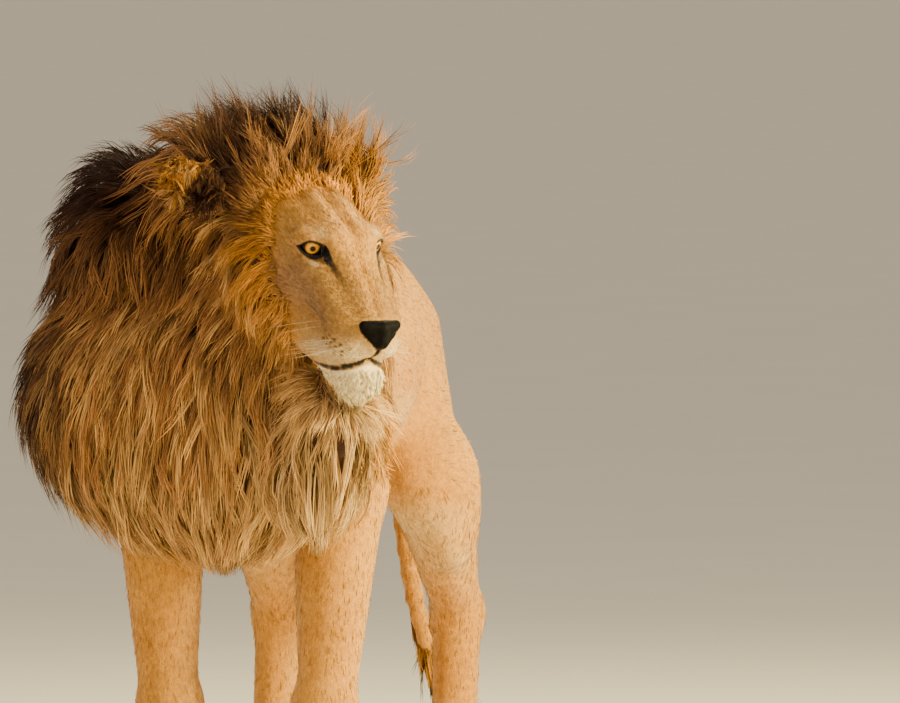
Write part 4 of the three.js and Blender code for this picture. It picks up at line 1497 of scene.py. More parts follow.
@dataclass
class Grower:
    """Turns strand lines into the mesh of one coat piece."""

    lion: Lion
    markings: Markings

    def grow(
        self, name: str, strands: Array, lock: Array, roots: Roots, width: tuple, flat: float,
        rng: np.random.Generator, streaks: float, wrap: Wrap,
    ) -> bpy.types.Object:
        """Builds a coat piece of tapered three-sided strands.

        Args:
            name: the piece's name.
            strands: lines of points, root first.
            lock: the lock that each strand is in.
            roots: the locks' roots.
            width: the widest and the narrowest strand, across.
            flat: thickness as a share of the width.
            rng: the source of chance.
            streaks: share of the locks that are golden among brown ones.
            wrap: how the skin under the piece is unrolled for its map.

        Returns:
            The new piece.
        """
        n, m = strands.shape[:2]
        tangent = unit(np.gradient(strands, axis=1))
        normal = roots.normal[lock][:, None]
        side = unit(np.cross(tangent, normal + rng.normal(0, 0.35, (n, 1, 3))))
        up = np.cross(side, tangent)
        taper = np.interp(np.linspace(0, 1, m), (0, 0.3, 0.7, 1), (0.7, 1, 0.8, 0.1))
        size = rng.uniform(*width, n)[:, None] * taper[None]
        ring = [
            side * (np.cos(a) * size * STRAND_RADIUS)[..., None]
            + up * (np.sin(a) * size * STRAND_RADIUS * flat)[..., None]
            for a in np.radians((90, 210, 330))
        ]
        body = strands[:, :-1, None] + np.stack(ring, 2)[:, :-1]
        points = np.concatenate((body.reshape(n, -1, 3), strands[:, -1:]), 1)
        each = 3 * (m - 1) + 1
        corners, counts = [0, 1, 2], [3]
        for r in range(m - 2):
            for s in range(3):
                a, b = 3 * r + s, 3 * r + (s + 1) % 3
                corners += [a, a + 3, b + 3, b]
                counts.append(4)
        for s in range(3):
            corners += [3 * (m - 2) + s, each - 1, 3 * (m - 2) + (s + 1) % 3]
            counts.append(3)
        base = np.arange(n)[:, None] * each
        loops = (np.array(corners)[None] + base).ravel()
        piece = self.lion.mesh(name, points.reshape(-1, 3), (loops, np.tile(counts, n)))
        t = np.append(np.repeat(np.linspace(0, 1, m)[:-1], 3), 1.0)
        number = np.repeat(np.arange(n), each)
        own, shared = rng.uniform(0, 1, n), rng.uniform(0, 1, len(roots))
        strand = np.stack((np.tile(t, n), own[number], shared[lock[number]], np.ones(n * each)), 1)
        first, second = self.markings.tones(roots.p, roots.normal)
        if streaks:
            sunny = (rng.uniform(0, 1, len(roots)) < streaks) * rng.uniform(0.5, 1, len(roots)) * second[:, 2]
            sunny *= 1 - 0.6 * first[:, 2]
            less_brown, less_dark = -0.8 * sunny * first[:, 1], -0.75 * sunny * first[:, 2]
            first = np.clip(first + np.stack((0.2 * sunny, less_brown, less_dark, 0.2 * sunny), 1), 0, 1)
        paint(piece, "strand", strand)
        paint(piece, "tones", first[lock[number]])
        paint(piece, "marks", second[lock[number]])
        paint(piece, "root", self.lion.metres(roots.p)[lock[number]], "FLOAT_VECTOR")
        paint(piece, "lie", roots.normal[lock[number]], "FLOAT_VECTOR")
        self.unroll(piece, roots.p[lock], corners, t, wrap)
        return piece

    def unroll(self, piece: bpy.types.Object, p: Array, corners: list[int], t: Array, wrap: Wrap) -> None:
        """Gives each strand a small patch of the map, at its root's place on the unrolled skin.

        Args:
            piece: the coat piece.
            p: the root of each strand, in the layout.
            corners: the corners of one strand's faces.
            t: how far along the strand each of its points lies.
            wrap: how the skin under the piece is unrolled.
        """
        if wrap is Wrap.HEAD:
            q = to_head(p)
            around = np.arctan2(q[:, 0], q[:, 2] + 60) / (2 * math.pi) + 0.5
            along = (q[:, 1] + 240) / 480
        elif wrap is Wrap.LEGS:
            hind, left = p[:, 1] > 0, p[:, 0] > 0
            mid_x, mid_y = np.where(left, 1, -1) * FORE_STANCE, np.where(hind, HIP_Y + 60, SHOULDER_Y)
            turn = np.arctan2(p[:, 0] - mid_x, p[:, 1] - mid_y) / (2 * math.pi) + 0.5
            around, along = (turn + 2 * hind + left) / 4, p[:, 2] / 560
        else:
            around = np.arctan2(p[:, 0], p[:, 2] - 800) / (2 * math.pi) + 0.5
            along = (p[:, 1] + 1000) / 1900
        place = np.clip(np.stack((around, along), 1), MAP_EDGE, 1 - MAP_EDGE)
        patch = np.stack((np.arange(len(t)) % 3 / 2 - 0.5, t - 0.5), 1)[np.array(corners)] * MAP_PATCH
        uv = (place[:, None] + patch[None]).astype(np.float32)
        piece.data.uv_layers.new(name="OFBake").data.foreach_set("uv", uv.ravel())


# ---- The lion's pieces ----


@dataclass
class Skin:
    """One closed skin for all the flesh, from the body's and the head's fields."""

    lion: Lion
    body: Torso
    head: Head
    cell: float = 9.5
    paw_cell: float = 5.0
    face_cell: float = 3.2
    eye_cell: float = 1.7
    body_triangles: int = 96000
    head_triangles: int = 98000
    piece: bpy.types.Object | None = None

    def build(self) -> bpy.types.Object:
        """Meshes body and head, and joins them under the mane."""
        spans = [(b - 130, b + 40) for b in self.body.fore_y] + [(b - 130, b + 70) for b in self.body.hind_y]
        lines = (
            graded(-330, 330, self.cell, self.paw_cell, [(-230, -60), (60, 230)]),
            graded(-860, 930, self.cell, self.paw_cell, spans),
            graded(-12, 1230, self.cell, self.paw_cell, [(-12, 120)]),
        )
        points, faces = mesh_field(self.body.flesh, lines)
        LOG.info("body mesh: %d faces", len(faces))
        self.piece = self.lion.mesh("skin", points, faces)
        self.thin(self.piece, self.body_triangles)
        eyes = [(-80, -30), (30, 80)]
        lines = (
            graded(-215, 250, self.face_cell, self.eye_cell, eyes),
            graded(-290, 205, self.face_cell, self.eye_cell, [(-28, 26)]),
            graded(-215, 100, self.face_cell, self.eye_cell, [(-24, 20)]),
        )
        points, faces = mesh_field(self.head.surface, lines)
        LOG.info("head mesh: %d faces", len(faces))
        face = self.lion.mesh("head_skin", from_head(points), faces)
        self.thin(face, self.head_triangles)
        self.unite(face)
        return self.piece

    def thin(self, piece: bpy.types.Object, wanted: int) -> None:
        """Drops triangles where the surface is nearly flat.

        Args:
            piece: the mesh to thin.
            wanted: about how many triangles it keeps.
        """
        fewer = piece.modifiers.new("fewer", "DECIMATE")
        fewer.ratio = min(1.0, wanted / (2 * len(piece.data.polygons)))
        only(piece)
        bpy.ops.object.modifier_apply(modifier=fewer.name)

    def unite(self, other: bpy.types.Object) -> None:
        """Joins another closed mesh to the skin and removes it.

        Args:
            other: the mesh to join.
        """
        join = self.piece.modifiers.new("join", "BOOLEAN")
        join.operation, join.solver, join.object = "UNION", "MANIFOLD", other
        only(self.piece)
        before = len(self.piece.data.vertices)
        bpy.ops.object.modifier_apply(modifier=join.name)
        LOG.info("joined: %d points, were %d", len(self.piece.data.vertices), before)
        bpy.data.objects.remove(other)

    def triangles(self) -> tuple[Array, Array, Array]:
        """Corners, normal and area of each triangle, in the layout."""
        data = self.piece.data
        data.calc_loop_triangles()
        index = np.empty(len(data.loop_triangles) * 3, np.int32)
        data.loop_triangles.foreach_get("vertices", index)
        co = np.empty(len(data.vertices) * 3, np.float32)
        data.vertices.foreach_get("co", co)
        tri = self.lion.millimetres(co.reshape(-1, 3))[index.reshape(-1, 3)]
        cross = np.cross(tri[:, 1] - tri[:, 0], tri[:, 2] - tri[:, 0])
        return tri, unit(cross), np.linalg.norm(cross, axis=1) / 2

    def dress(self, markings: Markings, material: bpy.types.Material) -> None:
        """Stores the markings on the skin and gives it its material.

        Args:
            markings: the coat's markings.
            material: the skin's material.
        """
        data = self.piece.data
        co, no = np.empty((2, len(data.vertices) * 3), np.float32)
        data.vertices.foreach_get("co", co)
        data.vertices.foreach_get("normal", no)
        first, second = markings.tones(self.lion.millimetres(co.reshape(-1, 3)), no.reshape(-1, 3))
        paint(self.piece, "tones", first)
        paint(self.piece, "marks", second)
        data.polygons.foreach_set("use_smooth", np.ones(len(data.polygons), bool))
        data.materials.clear()
        data.materials.append(material)


HANGING = dict(level=(-22, 6), sag=0.5, stray=0.17, curl=0.18)  # the lie of the mane's heavy locks


@dataclass
class Coat:
    """All the hair."""

    lion: Lion
    skin: Skin
    body: Torso
    head: Head
    markings: Markings
    pelt: Pelt
    ceiling: float = 1286.0  # the highest tip of the mane
    pieces: dict = field(default_factory=dict)

    def build(self) -> dict[str, bpy.types.Object]:
        """Grows every coat piece."""
        self.comb = Comb(self.body)
        self.grower = Grower(self.lion, self.markings)
        self.tri, self.tri_normal, self.area = self.skin.triangles()
        mid = self.tri.mean(1)
        q = to_head(mid)
        self.edge = hair_edge(q)
        self.on_head = self.head.surface(q) < 6
        self.hull = self.body.mane(mid)
        self.on_ear = self.on_head & (self.head.ear(1, self.head.ear_tips[1])(q) < 3)
        self.mid, self.q = mid, q
        self.mane_front()
        self.mane_behind()
        self.short_hair()
        return self.pieces

    def scatter(self, count: int, density: Array, rng: np.random.Generator) -> Roots:
        """Random places on the skin.

        Args:
            count: how many.
            density: how thick the hair is on each triangle.
            rng: the source of chance.

        Returns:
            The places.
        """
        weight = self.area * density
        pick = rng.choice(len(weight), count, p=weight / weight.sum())
        a, b = np.sqrt(rng.uniform(0, 1, count)), rng.uniform(0, 1, count)
        share = np.stack((1 - a, a * (1 - b), a * b), 1)
        return Roots((self.tri[pick] * share[..., None]).sum(1), self.tri_normal[pick])

    def patch(
        self, name: str, slot: str, seed: int, count: int, density: Array, lay: Lay, per: int = 1,
        spread: tuple = (0, 0), rings: int = 5, width: tuple = (1.2, 2.2), flat: float = 0.5,
        short: float = 0.7, frizz: float = 3.0, scale: Form | None = None, streaks: float = 0.0,
        wrap: Wrap = Wrap.BODY, loft: float = 0.0, **look: float,
    ) -> None:
        """Scatters, combs, grows and dresses one coat piece.

        Args:
            name: the piece's name.
            slot: not used.
            seed: the piece's own seed.
            count: how many locks.
            density: how thick the hair is on each triangle of the skin.
            lay: how it lies.
            per: strands in a lock.
            spread: radius of a lock at its root and at its tip.
            rings: points of each strand.
            width: the narrowest and the widest strand.
            flat: thickness of a strand as a share of its width.
            short: the shortest strand's share of its lock.
            frizz: how far a strand's tip strays.
            scale: a length factor for each root, or none.
            streaks: share of the locks that are golden among brown ones.
            wrap: how the skin under the piece is unrolled for its map.
            loft: how far tips may stand out of the mane's hull; 0 for no limit.
            look: settings of the hair's material.
        """
        rng = np.random.default_rng(SEED * 100 + seed)
        roots = self.scatter(count, density, rng)
        factor = scale(roots.p) if scale else np.ones(len(roots))
        lines = comb_out(roots, lay, self.comb, factor, rng)
        strands, lock = fan(lines, roots.normal, per, spread, rings, short, frizz, rng)
        root, top = strands[:, :1], strands[..., 2].max(1)
        fit = np.minimum((self.ceiling - root[:, 0, 2]) / np.maximum(top - root[:, 0, 2], 1.0), 1.0)
        strands = root + (strands - root) * np.where(top > self.ceiling, fit, 1.0)[:, None, None]
        if loft:
            over = self.body.mane(strands[:, -1]) / loft
            strands = root + (strands - root) / np.maximum(over, 1.0)[:, None, None]
        strands[..., 2] = np.maximum(strands[..., 2], LOWEST)
        piece = self.grower.grow(name, strands, lock, roots, width, flat, rng, streaks, wrap)
        piece.data.materials.append(self.pelt.hair(f"{name}_hair", **look))
        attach(piece, "root")
        self.pieces[name] = piece
        LOG.info("%s: %d strands, %d faces", name, len(strands), len(piece.data.polygons))

    def far_temple(self, at: Array) -> Array:
        """How much points lie at the temple of the left side, where the hair comes forward."""
        q = to_head(at)
        return ramp(q[:, 0], -35, -80) * ramp(q[:, 2], -110, -40)

    def bushy(self, at: Array) -> Array:
        """Length factor of the hair round the face: short at its edge, long behind."""
        return np.maximum(0.3 + 0.7 * ramp(hair_edge(to_head(at)), 14, -40), 1.35 * self.far_temple(at))

    def thinning(self, at: Array) -> Array:
        """Length factor of the hair at the mane's rear edge."""
        return 0.3 + 0.7 * ramp(self.body.mane(at), 60, 0)

    def leg_scale(self, at: Array) -> Array:
        """Length factor of the hair down the legs."""
        return 0.45 + 0.55 * ramp(at[:, 2], 60, 260)

    def face_scale(self, at: Array) -> Array:
        """Length factor of the face's hair: longer to the back and at the ruff, none at the lips."""
        q = to_head(at)
        size = 0.6 + 1.2 * ramp(q[:, 1], 40, -110) + 1.5 * ramp(hair_edge(q), 30, -5)
        return size * ramp(chain_distance(folded(q), self.head.mouth), 0, 16)

    def chin_scale(self, at: Array) -> Array:
        """Length factor of the chin's hair: longer towards the beard."""
        return 1 + 1.6 * ramp(hair_edge(to_head(at)), 10, -8)

    def mane_areas(self) -> tuple[Array, Array]:
        """Splits the skin of the mane.

        Returns:
            Which triangles carry mane, and which of them lie about the head.
        """
        reach = 14 * ramp(self.q[:, 1], 50, 20) - 3 * ramp(self.q[:, 1], 50, 90)
        mane = (self.hull < 3) & ~self.on_ear & ((self.edge < reach) | ~self.on_head)
        return mane, np.linalg.norm(self.q - (0, -40, -50), axis=1) < 250

    def mane_front(self) -> None:
        """Grows the mane about the head: crown, wisps, forelock, cheeks and ruff."""
        p, q, edge = self.mid, self.q, self.edge
        mane, about = self.mane_areas()
        band = mane & about & (edge > -48)
        ruff = mane & about & ~band
        crown = (ruff & (p[:, 2] > 1085)) | (band & (q[:, 2] > 10) & (edge < -26))
        ruff &= ~crown
        top = band & (q[:, 2] > -25) & ~crown
        cheek = band & (q[:, 2] <= -25)
        thick = dict(per=10, rings=5, frizz=5, loft=34.0, wrap=Wrap.HEAD)
        self.patch(
            "mane_crown", "mane_brown", 1, 700, crown * 1.0,
            Lay(Flow.CROWN, (70, 135), (0.35, 0.1), level=(-30, 14), stray=0.24, curl=0.2),
            spread=(9, 2.4), width=(1.2, 2.1), short=0.5, streaks=0.12, **thick,
        )
        rear = ramp(p[:, 0], 120, -40)
        self.patch(
            "mane_spikes", "mane_dark", 10, 200, (crown & (p[:, 2] > 1120)) * (1 + 2.5 * rear),
            Lay(Flow.SPIKE, (85, 150), (0.55, 0.2), stray=0.2, curl=0.3),
            spread=(7, 2.5), width=(0.9, 1.5), short=0.5, **{**thick, "frizz": 7, "loft": 0.0},
        )
        veil = 1 + 4 * bump_at(q, (100, -108, 6), (38, 34, 38)) + 1.5 * (q[:, 0] < -70)
        under = 1 + 3 * bump_at(q, (0, 62, -218), (60, 60, 30))
        fringe = dict(short=0.45, root_shade=0.6, scale=self.bushy, **thick)
        self.patch(
            "mane_forelock", "mane_gold", 8, 620, top * veil,
            Lay(Flow.RUFF, (45, 92), (0.36, 0.12), stray=0.13, curl=0.1),
            spread=(7, 2.0), width=(1.0, 1.8), **fringe,
        )
        self.patch(
            "mane_cheek", "mane_gold", 9, 620, cheek * under,
            Lay(Flow.RUFF, (55, 110), (0.32, 0.06), sag=0.4, stray=0.17, curl=0.16),
            spread=(8, 2.4), width=(1.0, 1.9), **fringe,
        )
        self.patch(
            "mane_ruff", "mane_gold", 2, 500, ruff * 1.0, Lay(Flow.MANE, (80, 150), (0.4, 0.05), **HANGING),
            spread=(10, 3), width=(1.3, 2.3), short=0.6, streaks=0.25, **thick,
        )

    def mane_behind(self) -> None:
        """Grows the rest of the mane, from the nape to the breast and its rear edge, and the tail's tuft."""
        p = self.mid
        mane, about = self.mane_areas()
        body = mane & ~about
        lower = body & (p[:, 2] < 760)
        nape = body & (p[:, 2] > 960)
        flank = body & ~lower & ~nape
        right, left = flank & (p[:, 0] < 10), flank & (p[:, 0] >= 10)
        thick = dict(per=10, rings=5, frizz=5, loft=34.0)
        sunlit = dict(streaks=0.46, root_shade=0.52)
        parts = 1 + 3 * bump_at(p, (-126, -620, 1035), (110, 110, 90))
        self.patch(
            "mane_nape", "mane_dark", 3, 600, nape * parts,
            Lay(Flow.MANE, (90, 175), (0.45, 0.2), level=(-18, 16), sag=0.3, stray=0.22, curl=0.2),
            spread=(12, 3.5), width=(1.4, 2.6), short=0.5, **thick,
        )
        self.patch(
            "mane_right", "mane_brown", 4, 680, right * 1.0,
            Lay(Flow.MANE, (120, 215), (0.3, 0.02), **HANGING),
            spread=(13, 3), width=(1.5, 2.6), short=0.6, **sunlit, **thick,
        )
        self.patch(
            "mane_left", "mane_brown", 5, 380, left * 1.0,
            Lay(Flow.MANE, (120, 210), (0.3, 0.02), **HANGING),
            spread=(13, 3), width=(1.7, 3.0), short=0.6, streaks=0.3, **thick,
        )
        self.patch(
            "mane_breast", "mane_brown", 6, 560, lower * 1.0,
            Lay(Flow.DOWN, (120, 205), (0.25, 0.02), **HANGING),
            spread=(13, 3), width=(1.6, 2.8), short=0.6, **sunlit, **thick,
        )
        verge = (self.hull > -14) & (self.hull < 62) & ~self.on_head & (p[:, 1] > -470) & (p[:, 2] > 560)
        self.patch(
            "mane_edge", "mane_brown", 17, 330, verge * 1.0,
            Lay(Flow.BODY, (46, 105), (0.3, 0.05), stray=0.2),
            spread=(9, 3), width=(1.2, 2.2), short=0.45, streaks=0.4, root_shade=0.7, scale=self.thinning,
            **{**thick, "loft": 0.0},
        )
        tuft = (p[:, 1] > 770) & (p[:, 2] < 330)
        self.patch(
            "tail_tuft_hair", "mane_dark", 7, 120, tuft * 1.0, Lay(Flow.TAIL, (60, 105), (0.3, 0.0)),
            per=10, spread=(6, 2), width=(1.2, 2.0), short=0.5, frizz=3,
        )

    def short_hair(self) -> None:
        """Grows the close coat of trunk and legs, and the hair of face, chin and ear."""
        p, q, edge = self.mid, self.q, self.edge
        covered = (self.hull < -30) & ~self.on_head
        tuft = (p[:, 1] > 775) & (p[:, 2] < 325)
        body = ~covered & ~self.on_head & ~tuft & (self.tri_normal[:, 2] > -0.98)
        legs = body & (p[:, 2] < 520)
        trunk = body & ~legs
        close = dict(rings=3, short=1.0, flat=0.35, root_shade=0.94, vary=0.42, soft=0.9)
        sleek = dict(stray=0.07, steps=3)
        self.patch(
            "coat_trunk", "coat", 11, 12000, trunk * 1.0, Lay(Flow.BODY, (10, 18), (0.13, 0.04), **sleek),
            width=(1.0, 2.0), frizz=0.5, **close,
        )
        self.patch(
            "coat_legs", "coat", 12, 9500, legs * 1.0, Lay(Flow.BODY, (9, 14), (0.13, 0.04), **sleek),
            width=(1.0, 1.9), frizz=0.4, scale=self.leg_scale, wrap=Wrap.LEGS, **close,
        )
        a = folded(q)
        slit, ball, _ = self.head.slit(a)
        clear = ((slit > 3.5) | (ball > EYE_RADIUS + 9)) & (self.head.nose(a) > 3)
        lip = chain_distance(a, self.head.mouth)
        groove = (a[:, 0] < 4) & (q[:, 1] > 125) & (q[:, 2] < -76) & (q[:, 2] > -130)
        face = self.on_head & (edge > -20) & ~self.on_ear & clear & (lip > 5.5) & ~groove
        self.patch(
            "coat_face", "face_fur", 13, 15500, face * (0.6 + 0.9 * ramp(q[:, 1], 0, 90)),
            Lay(Flow.FACE, (6, 10.5), (0.2, 0.1), stray=0.09, steps=3),
            width=(0.7, 1.4), flat=0.4, frizz=0.4, scale=self.face_scale, rings=3, short=1.0, root_shade=0.88,
            vary=0.6, soft=0.75, wrap=Wrap.HEAD,
        )
        chin = self.on_head & (q[:, 1] > 36) & (self.markings.below_lips(a) > 8) & (lip > 7) & (edge > -16)
        self.patch(
            "chin_hair", "pale_fur", 14, 320, chin * 1.0,
            Lay(Flow.DOWN, (10, 20), (0.3, 0.1), stray=0.16, steps=6),
            per=10, spread=(5, 1.5), rings=4, width=(0.8, 1.4), short=0.5, frizz=2, scale=self.chin_scale,
            root_shade=0.92, vary=0.35, soft=0.6, wrap=Wrap.HEAD,
        )
        self.patch(
            "ear_hair", "pale_fur", 15, 320, self.on_ear * 1.0,
            Lay(Flow.EAR, (24, 62), (0.25, 0.1), stray=0.26, sag=1.1, steps=6),
            per=9, spread=(5, 2), rings=4, width=(0.8, 1.5), short=0.4, frizz=3, root_shade=0.6, vary=1.0,
            wrap=Wrap.HEAD,
        )


@dataclass
class Eyes:
    """Two amber eyes under the lids."""

    lion: Lion
    head: Head
    cornea: float = 1.6  # how far the clear front stands out
    iris: float = 0.67  # in eye radii
    clearance: float = 0.3  # between the ball and the lids

    def build(self, material: bpy.types.Material) -> list[bpy.types.Object]:
        """Makes both eyes, each in the place of its solid."""
        made = []
        axes = self.head.eye_axes()
        for name, side in SIDES:
            radius = EYE_RADIUS - self.clearance
            bpy.ops.mesh.primitive_uv_sphere_add(segments=48, ring_count=32, radius=radius)
            ball = bpy.context.active_object
            ball.name = f"eyeball_{name}"
            co = np.array([v.co for v in ball.data.vertices])
            flat = np.linalg.norm(co[:, :2], axis=1) / EYE_RADIUS
            rise = np.where(co[:, 2] > 0, np.clip(1 - (flat / self.iris) ** 2, 0, 1), 0)
            co[:, 2] += rise * self.cornea
            spot = 0.5 + co[:, :2] / EYE_RADIUS / 2
            spot[co[:, 2] < 0] = 0.999
            turned = co @ axes
            place = self.lion.metres(from_head((turned + EYE_PLACE) * (side, 1, 1)))
            ball.data.vertices.foreach_set("co", place.astype(np.float32).ravel())
            layer = ball.data.uv_layers.active or ball.data.uv_layers.new()
            layer.name = "gaze"
            loops = np.array([loop.vertex_index for loop in ball.data.loops])
            layer.data.foreach_set("uv", spot[loops].astype(np.float32).ravel())
            if side < 0:
                ball.data.flip_normals()
            ball.data.polygons.foreach_set("use_smooth", np.ones(len(ball.data.polygons), bool))
            ball.data.materials.append(material)
            ball.data.update()
            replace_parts(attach(ball, "root"), f"eye_{name}")
            made.append(ball)
        return made


@dataclass
class Nose:
    """The nose leather, with nostrils and the groove between them."""

    lion: Lion
    head: Head
    cell: float = 1.2

    def build(self, material: bpy.types.Material) -> bpy.types.Object:
        """Meshes and dresses the nose in the place of its solid."""
        lines = tuple(np.arange(a, b, self.cell) for a, b in ((-42, 42.5), (122, 180), (-102, -38)))
        points, faces = mesh_field(lambda q: self.head.nose(folded(q)), lines)
        piece = self.lion.mesh("nose", from_head(points), faces)
        piece.data.materials.append(material)
        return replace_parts(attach(piece, "root"), "nose_pad")


@dataclass
class Claws:
    """Curved claws, mostly drawn into the toes."""

    lion: Lion
    body: Torso
    radius: float = 4.6
    length: float = 27.0
    steps: int = 5
    droop: float = 0.25
    ahead: float = 22.0  # how far ahead of a toe's middle the claw starts
    above: float = 6.0

    def model(self) -> tuple[Array, list[list[int]]]:
        """One claw about the origin, pointing along -Y: extruded, narrowed and turned step by step."""
        bpy.ops.mesh.primitive_circle_add(
            vertices=10, radius=self.radius, fill_type="NGON", rotation=(math.pi / 2, 0, 0)
        )
        claw = bpy.context.active_object
        bpy.ops.object.mode_set(mode="EDIT")
        bpy.ops.mesh.select_all(action="SELECT")
        move = self.length / self.steps
        for i in range(self.steps):
            angle = self.droop * (i + 1)
            way = (0, -move * math.cos(angle), -move * math.sin(angle))
            bpy.ops.mesh.extrude_region_move(TRANSFORM_OT_translate={"value": way})
            shrink = 0.86 if i < self.steps - 1 else 0.12
            bpy.ops.transform.resize(value=(shrink,) * 3)
        bpy.ops.mesh.select_all(action="SELECT")
        bpy.ops.mesh.normals_make_consistent(inside=False)
        bpy.ops.object.mode_set(mode="OBJECT")
        bpy.ops.object.transform_apply(location=True, rotation=True, scale=True)
        points = np.array([v.co for v in claw.data.vertices])
        faces = [list(f.vertices) for f in claw.data.polygons]
        bpy.data.objects.remove(claw)
        return points, faces

    def build(self, material: bpy.types.Material) -> list[bpy.types.Object]:
        """Copies the claw onto each toe in the place of its solid."""
        points, faces = self.model()
        corners, counts = np.array([c for f in faces for c in f]), np.array([len(f) for f in faces])
        made = []
        names = [f"{kind}_claw_{side}" for kind in ("fore", "hind") for side in ("left", "right")]
        for name, (x, y, width, _) in zip(names, self.body.paws()):
            for number, toe in enumerate(self.body.toes(x, y, width), 1):
                at = points + toe + (0, -self.ahead, self.above)
                piece = self.lion.mesh(f"{name}_horn_{number}", at, (corners, counts))
                piece.data.materials.append(material)
                made.append(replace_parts(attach(piece, "root"), f"{name}_{number}"))
        return made


@dataclass
class Whiskers:
    """Long stiff hairs from the upper lip and over the eyes."""

    lion: Lion
    grower: Grower
    head: Head
    width: tuple = (0.36, 0.52)
    length: tuple = (48, 88)
    bare_share: float = 0.72  # of the spots, without a whisker

    def build(self, material: bpy.types.Material) -> bpy.types.Object:
        """Grows them from the rows of spots."""
        rng = np.random.default_rng(SEED)
        starts, ways, sizes = [], [], []
        for _, side in SIDES:
            for x, y, z in SPOT_ROWS:
                if rng.uniform() < self.bare_share:
                    continue
                starts.append((side * x, y, z))
                ways.append((side * 1.0, -0.35 + rng.normal(0, 0.1), -0.25 + rng.normal(0, 0.12)))
                sizes.append(rng.uniform(*self.length))
        start, way = np.array(starts), unit(np.array(ways))
        start = settled(self.head.surface, start)
        t = np.linspace(0, 1, 6)
        line = start[:, None] + way[:, None] * (np.array(sizes)[:, None] * t)[..., None]
        line += np.array((0, -14.0, -16.0)) * (t**2)[None, :, None]
        strands = from_head(line)
        roots = Roots(strands[:, 0], np.tile((0.0, 0, 1.0), (len(strands), 1)))
        number = np.arange(len(strands))
        piece = self.grower.grow("whiskers", strands, number, roots, self.width, 1.0, rng, 0.0, Wrap.HEAD)
        piece.data.materials.append(material)
        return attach(piece, "root")


@dataclass(frozen=True)
class Lamp:
    """A soft square light, placed by metres from the eyes: to the camera's right, towards it and up."""

    name: str
    right: float
    near: float
    up: float
    size: float
    power: float
    colour: tuple


LAMPS = (
    Lamp("key", 3.3, 0.9, 1.1, 1.3, 620, (1.0, 0.89, 0.44)),
    Lamp("fill", -2.2, 3.6, 1.0, 3.0, 95, (1.0, 0.9, 0.76)),
    Lamp("rim", 0.6, -2.8, 2.6, 2.0, 140, (1.0, 0.9, 0.5)),
)


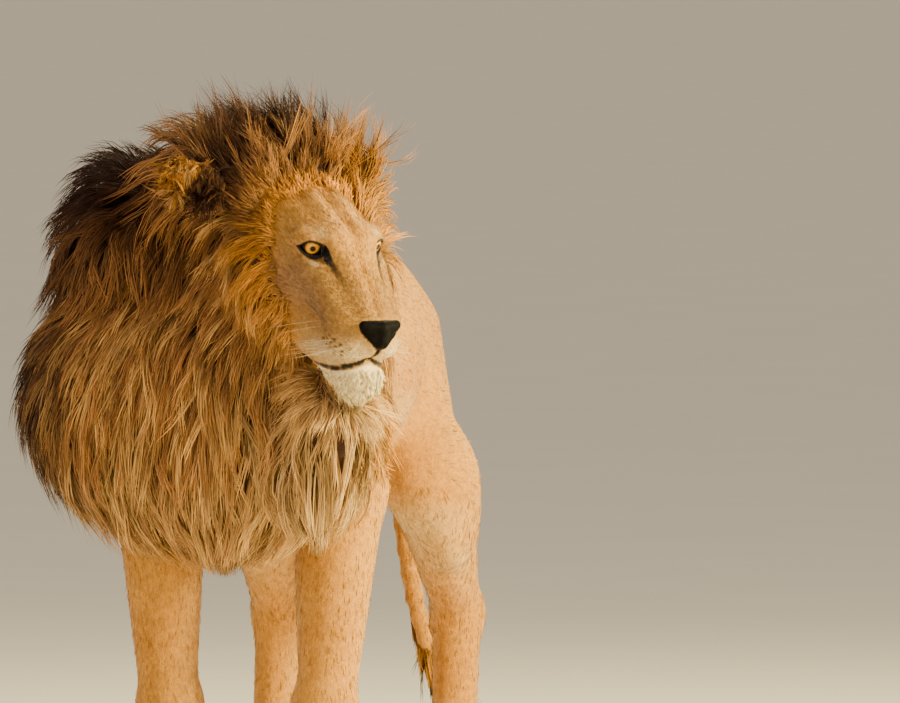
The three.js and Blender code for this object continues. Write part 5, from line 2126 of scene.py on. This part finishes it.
@dataclass
class Studio:
    """The floor, the lights and the camera."""

    lion: Lion
    azimuth: float = math.radians(12)
    elevation: float = math.radians(3)
    distance: float = 25.0
    lens: float = 625.0
    sensor: float = 36.0
    eye_pixel: tuple = (344.6, 247.0)
    picture: tuple = (900, 703)
    floor: float = 90.0
    aim: tuple = (60, -620, 860)  # what the lamps look at, in the lion's neck
    room: tuple = (0.95, 0.87, 0.75, 1)
    room_power: float = 0.6

    def build(self, material: bpy.types.Material) -> None:
        """Sets up all three."""
        eyes = self.lion.metres(EYES)
        sin_a, cos_a = math.sin(self.azimuth), math.cos(self.azimuth)
        sin_e, cos_e = math.sin(self.elevation), math.cos(self.elevation)
        back = np.array((sin_a * cos_e, -cos_a * cos_e, sin_e))
        right = np.array((cos_a, sin_a, 0))
        up = np.array((-sin_a * sin_e, cos_a * sin_e, cos_e))
        per_pixel = self.sensor / self.picture[0] / self.lens * self.distance
        off = (self.eye_pixel[0] - self.picture[0] / 2, self.picture[1] / 2 - self.eye_pixel[1])
        place = eyes + back * self.distance - right * off[0] * per_pixel - up * off[1] * per_pixel
        data = bpy.data.cameras.new("camera")
        data.lens, data.sensor_width, data.clip_end = self.lens, self.sensor, 400
        camera = bpy.data.objects.new("camera", data)
        camera.location = place
        camera.rotation_euler = (math.pi / 2 - self.elevation, 0, self.azimuth)
        bpy.context.scene.collection.objects.link(camera)
        bpy.context.scene.camera = camera
        bpy.ops.mesh.primitive_plane_add(size=2 * self.floor, location=(0, 0, 0))
        floor = bpy.context.active_object
        floor.name = "floor"
        floor.data.materials.append(material)
        for lamp in LAMPS:
            self.light(lamp, eyes + right * lamp.right + back * lamp.near + up * lamp.up)
        world = bpy.data.worlds.new("room")
        bpy.context.scene.world = world
        world.use_nodes = True
        background = world.node_tree.nodes["Background"]
        background.inputs[0].default_value = self.room
        background.inputs[1].default_value = self.room_power

    def light(self, lamp: Lamp, place: Array) -> None:
        """Hangs one lamp, turned to the lion's neck.

        Args:
            lamp: the lamp.
            place: where it hangs, in metres.
        """
        data = bpy.data.lights.new(lamp.name, "AREA")
        data.size, data.energy, data.color = lamp.size, lamp.power, lamp.colour
        hung = bpy.data.objects.new(lamp.name, data)
        target = self.lion.metres(self.aim)
        z = unit(place - target)
        x = unit(np.cross((0, 0, 1), z))
        basis = np.eye(4)
        basis[:3, 0], basis[:3, 1], basis[:3, 2], basis[:3, 3] = x, np.cross(z, x), z, place
        hung.matrix_world = basis.T.tolist()
        bpy.context.scene.collection.objects.link(hung)


FLESH_NODES = (
    "head", "lower_jaw", "ear_left", "ear_right", "ruff", "neck", "breast", "forequarters", "barrel",
    "hindquarters", "foreleg_left", "foreleg_right", "forepaw_left", "forepaw_right", "thigh_left",
    "thigh_right", "hock_left", "hock_right", "hindpaw_left", "hindpaw_right", "tail_root", "tail_middle",
    "tail_tuft",
)


def report(*pieces: bpy.types.Object) -> None:
    """Writes each piece's name and number of faces to the log."""
    for piece in pieces:
        LOG.info("%s: %d faces", piece.name, len(piece.data.polygons))


def main() -> None:
    """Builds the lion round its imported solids, then the studio."""
    logging.basicConfig(level=logging.INFO, format="%(relativeCreated)6.0f %(message)s")
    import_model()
    for other in bpy.context.view_layer.objects.selected:
        other.select_set(False)
    lion, body, head, pelt = Lion(), Torso(), Head(), Pelt()
    LOG.info("shift %s", lion.shift)
    markings = Markings(body, head)
    skin = Skin(lion, body, head)
    piece = skin.build()
    skin.dress(markings, pelt.skin())
    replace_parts(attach(piece, "root"), *FLESH_NODES)
    report(piece)
    report(*Eyes(lion, head).build(Iris().material()))
    report(Nose(lion, head).build(Leather().material()))
    report(*Claws(lion, body).build(Horn().material("claw_horn")))
    coat = Coat(lion, skin, body, head, markings, pelt)
    coat.build()
    whisker_horn = Horn("#e8dfcf", "#b8a98f").material("whisker_horn")
    report(Whiskers(lion, coat.grower, head).build(whisker_horn))
    Studio(lion).build(FloorPaint().material())
    LOG.info("done")


if __name__ == "__main__":
    main()
